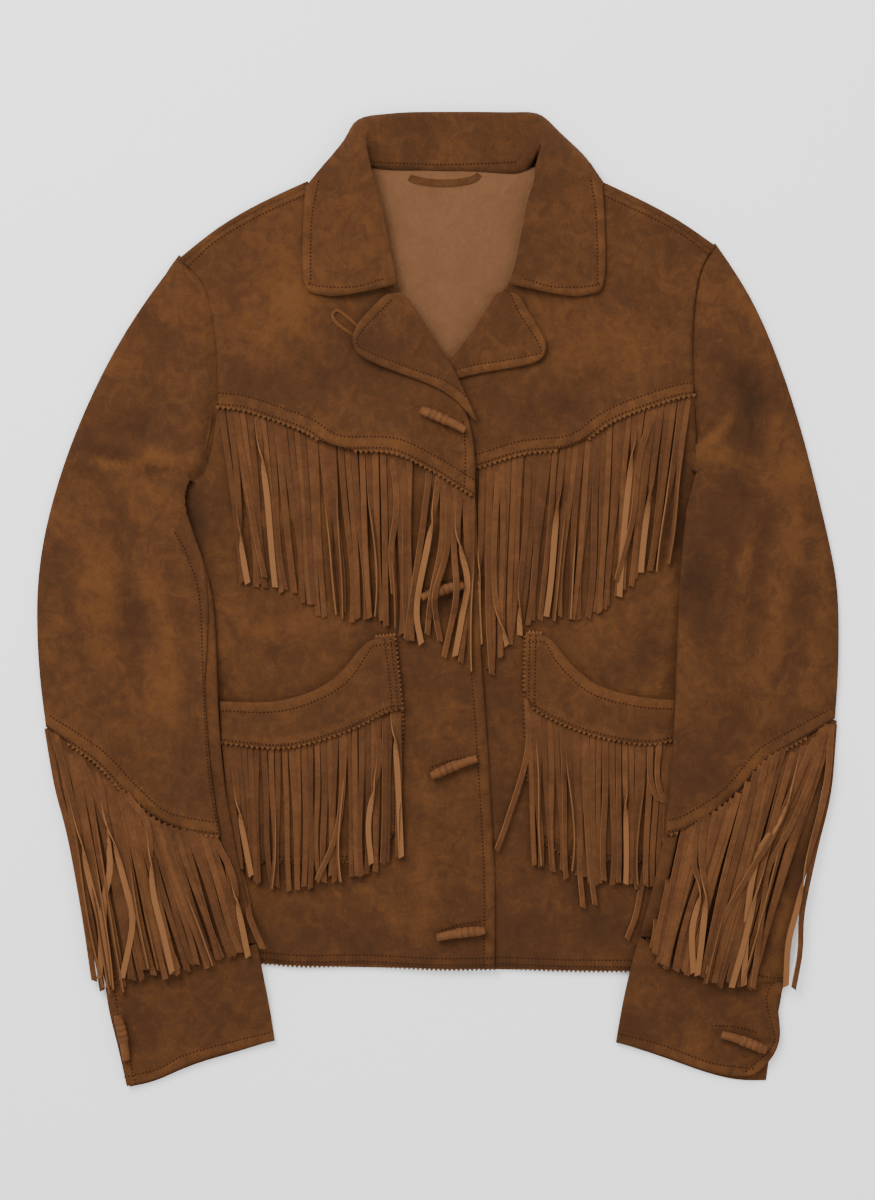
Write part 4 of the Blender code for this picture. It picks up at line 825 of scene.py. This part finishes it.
def two_sided(mesh):
    """The back shows its inner side at the neck and its outer side where it wraps over the shoulders."""
    mesh.materials.append(FINISHES["inside_suede"])
    mesh.materials.append(FINISHES["suede"])
    middle = np.array([p.center[:] for p in mesh.polygons]) / MM
    outer = np.array([p.normal.z for p in mesh.polygons]) < 0.05
    for points in (SHOULDER_L, SHOULDER_R):
        signed, _, _, past = near_line(middle, smooth_line(points, 3.0), -1)
        outer |= (signed < 9) & (past < 8)
    mesh.polygons.foreach_set("material_index", outer.astype(int))


def fold_cloth(name, x, y, z):
    """How far the folds lift a piece at each place; what lies flat on the surface stays there."""
    if name == "back":
        return np.zeros_like(x)
    if name.startswith(("sleeve", "cuff")):
        rise = folds(FOLDS_SLEEVES + CREASES_SLEEVES, x, y) + 1.2 * ripple(x, y)
        return rise * np.clip((z - 2.2) / 2.0, 0, 1)
    rise = folds(FOLDS_BODY + CREASES_BODY, x, y) + 0.8 * ripple(x, y)
    free = np.clip((z - 1.6) / 1.5, 0, 1)
    return rise * (free * 0.5 if name == "collar" else free)


def lay_cloth():
    """All the cloth pieces, with the folds they share."""
    for name, finish, steps, *_ in CLOTH:
        mesh = cut_cloth(name, steps)
        co = places_of(mesh)
        x, y, z = co.T
        rise = fold_cloth(name, x, y, z)
        co[:, 2] += rise
        # Painted light and shade: crests paler and troughs darker, crease lines lighten crests and darken
        # troughs, and dark clouds paint the underarm shadows; the rest is clouded and rubbed nap.
        marking = (clouds(x, y) + folds(RUBBED_AND_SHADED, x, y)) * (name != "back")
        tone = FOLD_RUB_LIGHT_AND_SHADE * rise + NAP_AND_SHADE_TONE * marking
        for piece, line, side, body in ARMHOLES:
            if piece == name:
                set_places(mesh, co)
                set_in(co, mesh, line, side, body)
        for piece, line, side, edge, beyond, drop, reach in DRAWN:
            if piece == name:
                draw_to(co, smooth_line(line, 3.0), side, edge, beyond, drop, reach)
        for piece, inner, side, top, low in SLEEVE_SEAMS:
            if piece == name:
                turn_in(co, inner, side, top, low)
        if name == "collar":
            shape_collar(co)
        edge_cushion(co, [row[1:] for row in BANDS if row[0] == name], tone)
        co[:, 2] = np.maximum(co[:, 2], 0.0)
        set_places(mesh, co)
        give(mesh, "tone", tone)
        give(mesh, "flesh", np.zeros(len(co)))
        shade(mesh, True)
        mesh.set_sharp_from_angle(angle=1.1)
        if name == "back":
            two_sided(mesh)
        PIECES[name] = finished(name + "_suede", mesh, finish, (name,))
        SURFACES[name] = surface_of(mesh)


# --- Stitches and pinked teeth --------------------------------------------------------------------------

def small_shape(make):
    """The vertices and faces of a small shape that is repeated."""
    bm = bmesh.new()
    make(bm)
    bmesh.ops.recalc_face_normals(bm, faces=bm.faces)
    verts = np.array([v.co[:] for v in bm.verts])
    faces = [[v.index for v in f.verts] for f in bm.faces]
    bm.free()
    return verts, faces


def repeated(name, shape, frames):
    """One joined mesh of a small shape placed at many frames (origin and three axes each), in mm."""
    verts, faces = shape
    frames = np.array(frames)
    spots = frames[:, None, 0] + np.einsum("vk,nkc->nvc", verts, frames[:, 1:])
    mesh = bpy.data.meshes.new(name)
    shifts = np.arange(len(frames)) * len(verts)
    every = [[i + s for i in face] for s in shifts for face in faces]
    mesh.from_pydata((spots.reshape(-1, 3) * MM).tolist(), [], every)
    shade(mesh, True)
    mesh.update()
    return mesh


def frames_along(line, tree, stretch):
    """Frames for things set along a line on a surface; stretch is their size along, across and up."""
    along = np.gradient(line, axis=0)
    out = []
    for (x, y), (dx, dy) in zip(line, along):
        found = height_on((tree,), x, y)
        if found is None or found[1].z < 0.3:
            continue
        z, up = found
        ahead = Vector((dx, dy, 0)).normalized()
        ahead = (ahead - up * ahead.dot(up)).normalized()
        side = up.cross(ahead)
        axes = [tuple(way * size) for way, size in zip((ahead, side, up), stretch)]
        out.append([(x, y, z), *axes])
    return out


def sew():
    """Rows of stitches on every seam."""
    bead = small_shape(lambda bm: bmesh.ops.create_icosphere(bm, subdivisions=1, radius=0.5))
    groups = {}
    for name, line, rows in STITCHING:
        for away in rows:
            run = smooth_line(beside(smooth_line(line, 2.0), away), STITCH_PITCH)
            groups.setdefault(name, []).extend(frames_along(run, SURFACES[name], STITCH))
    for name, rows in groups.items():
        if rows:
            mesh = repeated(name + "_stitches", bead, rows)
            WITH.setdefault(name, []).append(finished(name + "_stitches", mesh, "thread"))


def tooth(bm):
    """A pinked tooth: a three-cornered wedge, one long along and one deep."""
    bmesh.ops.create_cone(bm, cap_ends=True, segments=3, radius1=1.0, radius2=1.0, depth=1.0)
    for vert in bm.verts:
        along, out = (0.0, 1.0) if vert.co.y > 0.5 else (math.copysign(0.5, vert.co.x), -0.35)
        vert.co = (along, out, vert.co.z)


def pink():
    """Zigzag teeth along the pinked edges."""
    shape = small_shape(tooth)
    groups = {}
    for name, line, side, pitch, depth, marking in PINKING:
        run = smooth_line(line, pitch)
        inside = beside(run, -side * 1.2)
        along = np.gradient(run, axis=0)
        for (x, y), (dx, dy), (px, py) in zip(run, along, inside):
            found = height_on((SURFACES[name],), px, py)
            if found is not None:
                ahead = Vector((dx, dy, 0)).normalized()
                out = Vector((-ahead.y, ahead.x, 0)) * side
                frames, wear = groups.setdefault(name, ([], []))
                axes = [tuple(ahead * pitch), tuple(out * depth), (0, 0, TOOTH_THICK)]
                frames.append([(x, y, found[0] - TOOTH_SUNK), *axes])
                wear.append(marking * CHANCE.uniform(0.5, 1.0))
    for name, (frames, wear) in groups.items():
        mesh = repeated(name + "_teeth", shape, frames)
        co = places_of(mesh)
        give(mesh, "tone", clouds(co[:, 0], co[:, 1]) + 0.15)
        give(mesh, "flesh", np.repeat(wear, len(shape[0])))
        shade(mesh, False)
        WITH.setdefault(name, []).append(finished(name + "_teeth", mesh, "suede"))


# --- Fringe ---------------------------------------------------------------------------------------------

def strand(path, width, thick, turn, over, skew, trees, sunk=0.5):
    """One strand along a path: its four corners at each step, lying on what is under it.

    Turn is where it turns over (0 to 1) and by what angle, over how high it lies, skew how slanting its
    tip is cut and sunk how deep its head goes in. Its cut sides lean outwards and show as thin pale lines.
    """
    t = np.linspace(0, 1, STRAND_STEPS + 1)
    roll = turn[1] / (1 + np.exp(-(t - turn[0]) / 0.055))
    z = []
    for x, y in path:
        found = height_on(trees, x, y)
        z.append(found[0] if found is not None else z[-1] if z else 5.0)
    wide = np.pad(z, 2, mode="edge")
    tall = np.pad(np.max([wide[k:k + len(z)] for k in range(5)], axis=0), 1, mode="edge")
    drape = np.convolve(tall, np.ones(3) / 3, mode="valid")
    z = np.convolve(wide, np.ones(5) / 5, mode="valid")
    z = np.where(drape - z > 2.0, drape, z)
    half = width / 2 * (1 - 0.12 * t)
    loose = np.clip((t - 0.06) * 7, 0, 1)
    z = z - thick / 2 + over * loose - sunk * (1 - loose) + half * np.abs(np.sin(roll)) * 0.8
    z = np.maximum(z, thick / 2 + 0.15 + half * np.abs(np.sin(roll)))
    centre = np.column_stack([path, z])
    ahead = np.gradient(centre, axis=0)
    ahead /= np.linalg.norm(ahead, axis=1)[:, None]
    right = np.cross(ahead, (0, 0, 1.0))
    right /= np.linalg.norm(right, axis=1)[:, None]
    up = np.cross(right, ahead)
    across = right * np.cos(roll)[:, None] + up * np.sin(roll)[:, None]
    face = up * np.cos(roll)[:, None] - right * np.sin(roll)[:, None]
    a = across * half[:, None]
    top = across * (half - CUT_LEAN)[:, None]
    b = face * thick / 2
    corners = np.stack([centre - top + b, centre + top + b, centre + a - b, centre - a - b], axis=1)
    corners[-1, (0, 3)] += ahead[-1] * skew
    corners[-1, (1, 2)] -= ahead[-1] * skew
    return corners


def strips(name, rows, finish, nodes):
    """One joined mesh of strands; each row holds its corners, its tone and how pale its cut sides are."""
    verts = np.vstack([corners.reshape(-1, 3) for corners, _, _ in rows])
    step = np.arange(STRAND_STEPS)[:, None] * RING
    side = np.arange(RING)[None, :]
    a = step + side
    b = step + (side + 1) % RING
    walls = np.stack([b, a, a + RING, b + RING], axis=2).reshape(-1, 4)
    ends = [[0, 1, 2, 3], [STRAND_STEPS * RING + c for c in (3, 2, 1, 0)]]
    one = np.vstack([walls, ends])
    size = (STRAND_STEPS + 1) * RING
    faces = np.vstack([one + k * size for k in range(len(rows))])
    mesh = bpy.data.meshes.new(name)
    mesh.from_pydata((verts * MM).tolist(), [], faces.tolist())
    mesh.update()
    give(mesh, "tone", np.repeat([tone for _, tone, _ in rows], len(one)), "FACE")
    pale = [(0.0, cut, 0.9, cut) * STRAND_STEPS + (cut, cut) for _, _, cut in rows]
    give(mesh, "flesh", np.concatenate(pale), "FACE")
    return finished(name, mesh, finish, nodes)


def steps_of(run):
    """A strand's steps, picked evenly from a finer line."""
    return run[np.linspace(0, len(run) - 1, STRAND_STEPS + 1).astype(int)]


def even_strands(name, count, width, heads, tips, start_up, lay):
    """A fringe's regular strands, a little uneven; some turn over to their pale side."""
    t = np.linspace(0, 1, STRAND_STEPS + 1)
    share = (np.arange(count) + 0.5) / count
    reached = [tips[int(v * (len(tips) - 1))] for v in share]
    order = CHANCE.permutation(count)
    turned = {}
    for tip_x, start in TURNED.get(name, ()):
        found = int(np.argmin([abs(tip[0] - tip_x) for tip in reached]))
        turned[found] = (start, math.pi * (1 if found % 2 else -1))
    rows = []
    for k in range(count):
        head = heads[int(share[k] * (len(heads) - 1))] + (0, start_up)
        tip = reached[k] + CHANCE.normal(0, (1.6, 1.8))
        chance, start, way, bow, sway, wide, shade_by, cut, skew = CHANCE.random(9)
        if any(low < tip[0] < high for low, high in LEFT_OUT.get(name, ())):
            continue
        twist = math.copysign(1.1 if chance < 0.16 else 0.12, way - 0.5)
        turn = turned.get(k, (0.2 + 0.5 * start, twist))
        along = (tip - head) / np.linalg.norm(tip - head)
        square = np.array([along[1], -along[0]])
        sideways = 7 * (bow - 0.5) * np.sin(math.pi * t) * t + 4 * (sway - 0.5) * np.sin(2 * math.pi * t) * t
        path = head + (tip - head) * t[:, None] + square * sideways[:, None]
        over = 1.9 if k in turned else 0.45 * (order[k] % 4)
        corners = lay(path, width * (0.86 + 0.14 * wide), 1.0, turn, over, 2.4 * (skew - 0.5))
        rows.append((corners, 0.34 * (shade_by - 0.5), 0.15 + 0.75 * cut))
    return rows


def lay_fringe():
    """Every fringe as separate strands: the regular ones, then those placed one by one."""
    for name, cad, _, head_line, tip_line, count, width, _, _ in FRINGES:
        start_up, sunk = (1.6, 1.6) if name.startswith("sleeve") else (4.0, 0.5)
        trees = [surface_of(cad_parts[cad].data)]
        over_toggle = trees + [surface_of(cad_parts["toggle_2"].data)]

        def lay(*how):
            return strand(*how, trees, sunk)

        rows = even_strands(name, count, width, smooth_line(head_line, 1.0), smooth_line(tip_line, 1.0),
                            start_up, lay)
        for points, start, over in PLACED[name]:
            run = smooth_line(points, 1.0)
            run[:, 1] += start_up * np.clip(1 - np.arange(len(run)) / 12, 0, 1)
            turn = (start, math.pi) if start < 1 else (0.5, 0.2)
            corners = strand(steps_of(run), width * 0.92, 1.0, turn, over + 0.4, 1.0, over_toggle, sunk)
            rows.append((corners, CHANCE.uniform(-0.12, 0.12), 0.9))
        PIECES[name] = strips(name, rows, "cut_fringe_suede", (cad,))


def lay_loops():
    """The hanger loop at the neck and the button loop at the lapel, narrow straps lying on the cloth."""
    t = np.linspace(0, 1, STRAND_STEPS + 1)
    ends = np.exp(-(t / 0.09)**2) + np.exp(-((1 - t) / 0.09)**2)
    for name, points, wide, below, tone, deep, *_ in LOOPS:
        path = steps_of(smooth_line(points, 0.5))
        corners = strand(path, wide, 1.4, (0.5, 0.0), 1.5, 0.0, [SURFACES[below]])
        if deep:
            corners[..., 2] -= 0.3 + deep * ends[:, None]
        PIECES[name] = strips(name + "_strap", [(corners, tone, 0.8)], "suede", (name,))
        SURFACES[name] = surface_of(PIECES[name].data)


# --- Toggles --------------------------------------------------------------------------------------------

def ring_faces(low, high):
    """The faces between two rings whose vertices start at these numbers."""
    return [(low + k, low + (k + 1) % SIDES, high + (k + 1) % SIDES, high + k) for k in range(SIDES)]


def make_toggles():
    """Rolled-leather toggles: a tapered roll with the leather's edge showing, and wraps round one half."""
    t = np.linspace(0, 1, RINGS)
    turn = np.arange(SIDES) * 2 * math.pi / SIDES
    for number, (name, start, end) in enumerate(TOGGLES):
        low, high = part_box(name)
        a = np.array([*start, (low[2] + high[2]) / 2 / MM])
        b = np.array([*end, a[2]])
        ahead = (b - a) / np.linalg.norm(b - a)
        side = np.array([-ahead[1], ahead[0], 0.0])
        s = t if number % 2 else 1 - t
        wrap = np.clip((s - WRAP_FROM) / 0.03, 0, 1) * np.clip((WRAP_TO - s) / 0.03, 0, 1)
        groove = np.abs(np.sin(math.pi * (s - WRAP_FROM) / WRAP_PITCH))**0.35
        radius = 2.75 + 0.55 * np.sin(math.pi * np.clip(t, 0.06, 0.94))**0.6 + wrap * (0.1 + 0.55 * groove)
        leaf = np.exp(-((turn - 1.3 - 0.8 * t[:, None]) / 0.3)**2) * (1 - wrap)[:, None]
        size = radius[:, None] + 0.35 * leaf
        axis = a + (b - a) * t[:, None] + 0.9 * np.sin(math.pi * t)[:, None] * side
        outwards = np.cos(turn)[:, None] * side + np.sin(turn)[:, None] * np.array([0, 0, 1.0])
        spots = axis[:, None] + size[..., None] * outwards
        rings = list(spots)
        faces = [face for r in range(RINGS - 1) for face in ring_faces(r * SIDES, (r + 1) * SIDES)]
        for ring, way in ((0, -1), (RINGS - 1, 1)):
            middle = spots[ring].mean(axis=0)
            last = ring * SIDES
            for share, out in TOGGLE_ENDS:
                faces += ring_faces(last, len(rings) * SIDES)
                last = len(rings) * SIDES
                rings.append(middle + (spots[ring] - middle) * share + way * out * ahead)
            faces.append(tuple(range(last, last + SIDES)))
        mesh = bpy.data.meshes.new(name)
        mesh.from_pydata((np.vstack(rings) * MM).tolist(), [], faces)
        bm = bmesh.new()
        bm.from_mesh(mesh)
        bmesh.ops.recalc_face_normals(bm, faces=bm.faces)
        bm.to_mesh(mesh)
        bm.free()
        # The wraps' grooves are painted darker, as shade in the recesses between wraps; the rings of the ends
        # are a little darker.
        tone = np.repeat(0.12 - 0.45 * wrap * (1 - groove), SIDES)
        give(mesh, "tone", np.pad(tone, (0, len(mesh.vertices) - len(tone)), constant_values=-0.15))
        give(mesh, "flesh", np.zeros(len(mesh.vertices)))
        shade(mesh, True)
        PIECES[name] = finished(name + "_rolled", mesh, "rolled_leather", (name,))


# --- Making it ------------------------------------------------------------------------------------------

lay_cloth()
lay_loops()
sew()
pink()
lay_fringe()
make_toggles()


# --- Stage ----------------------------------------------------------------------------------------------

def stage():
    """A pale floor, soft studio light and a camera straight above."""
    bm = bmesh.new()
    bmesh.ops.create_grid(bm, x_segments=2, y_segments=2, size=4.0)
    mesh = bpy.data.meshes.new("floor")
    bm.to_mesh(mesh)
    bm.free()
    floor = linked("floor", mesh)
    floor.location.z = -0.0002
    paint, _, shader = material("pale_paper")
    shader.inputs["Base Color"].default_value = linear("#f4f4f3")
    shader.inputs["Roughness"].default_value = 0.9
    mesh.materials.append(paint)
    world = bpy.data.worlds.new("studio")
    world.use_nodes = True
    world.node_tree.nodes["Background"].inputs["Color"].default_value = linear("#f2f4f7")
    world.node_tree.nodes["Background"].inputs["Strength"].default_value = 1.30
    bpy.context.scene.world = world
    for name, spot, wide, power in (("key", (-0.9, 1.3, 1.7), 1.4, 80), ("fill", (1.3, -0.6, 2.0), 2.0, 22)):
        light = bpy.data.lights.new(name, "AREA")
        light.shape = "SQUARE"
        light.size = wide
        light.energy = power
        lamp = linked(name, light)
        lamp.location = spot
        lamp.rotation_euler = (-Vector(spot)).to_track_quat("-Z", "Y").to_euler()
    lens = bpy.data.cameras.new("camera")
    lens.lens = 85
    lens.sensor_width = 36
    camera = linked("camera", lens)
    camera.location = (-0.0004, 0.0, 2.135)
    bpy.context.scene.camera = camera


stage()
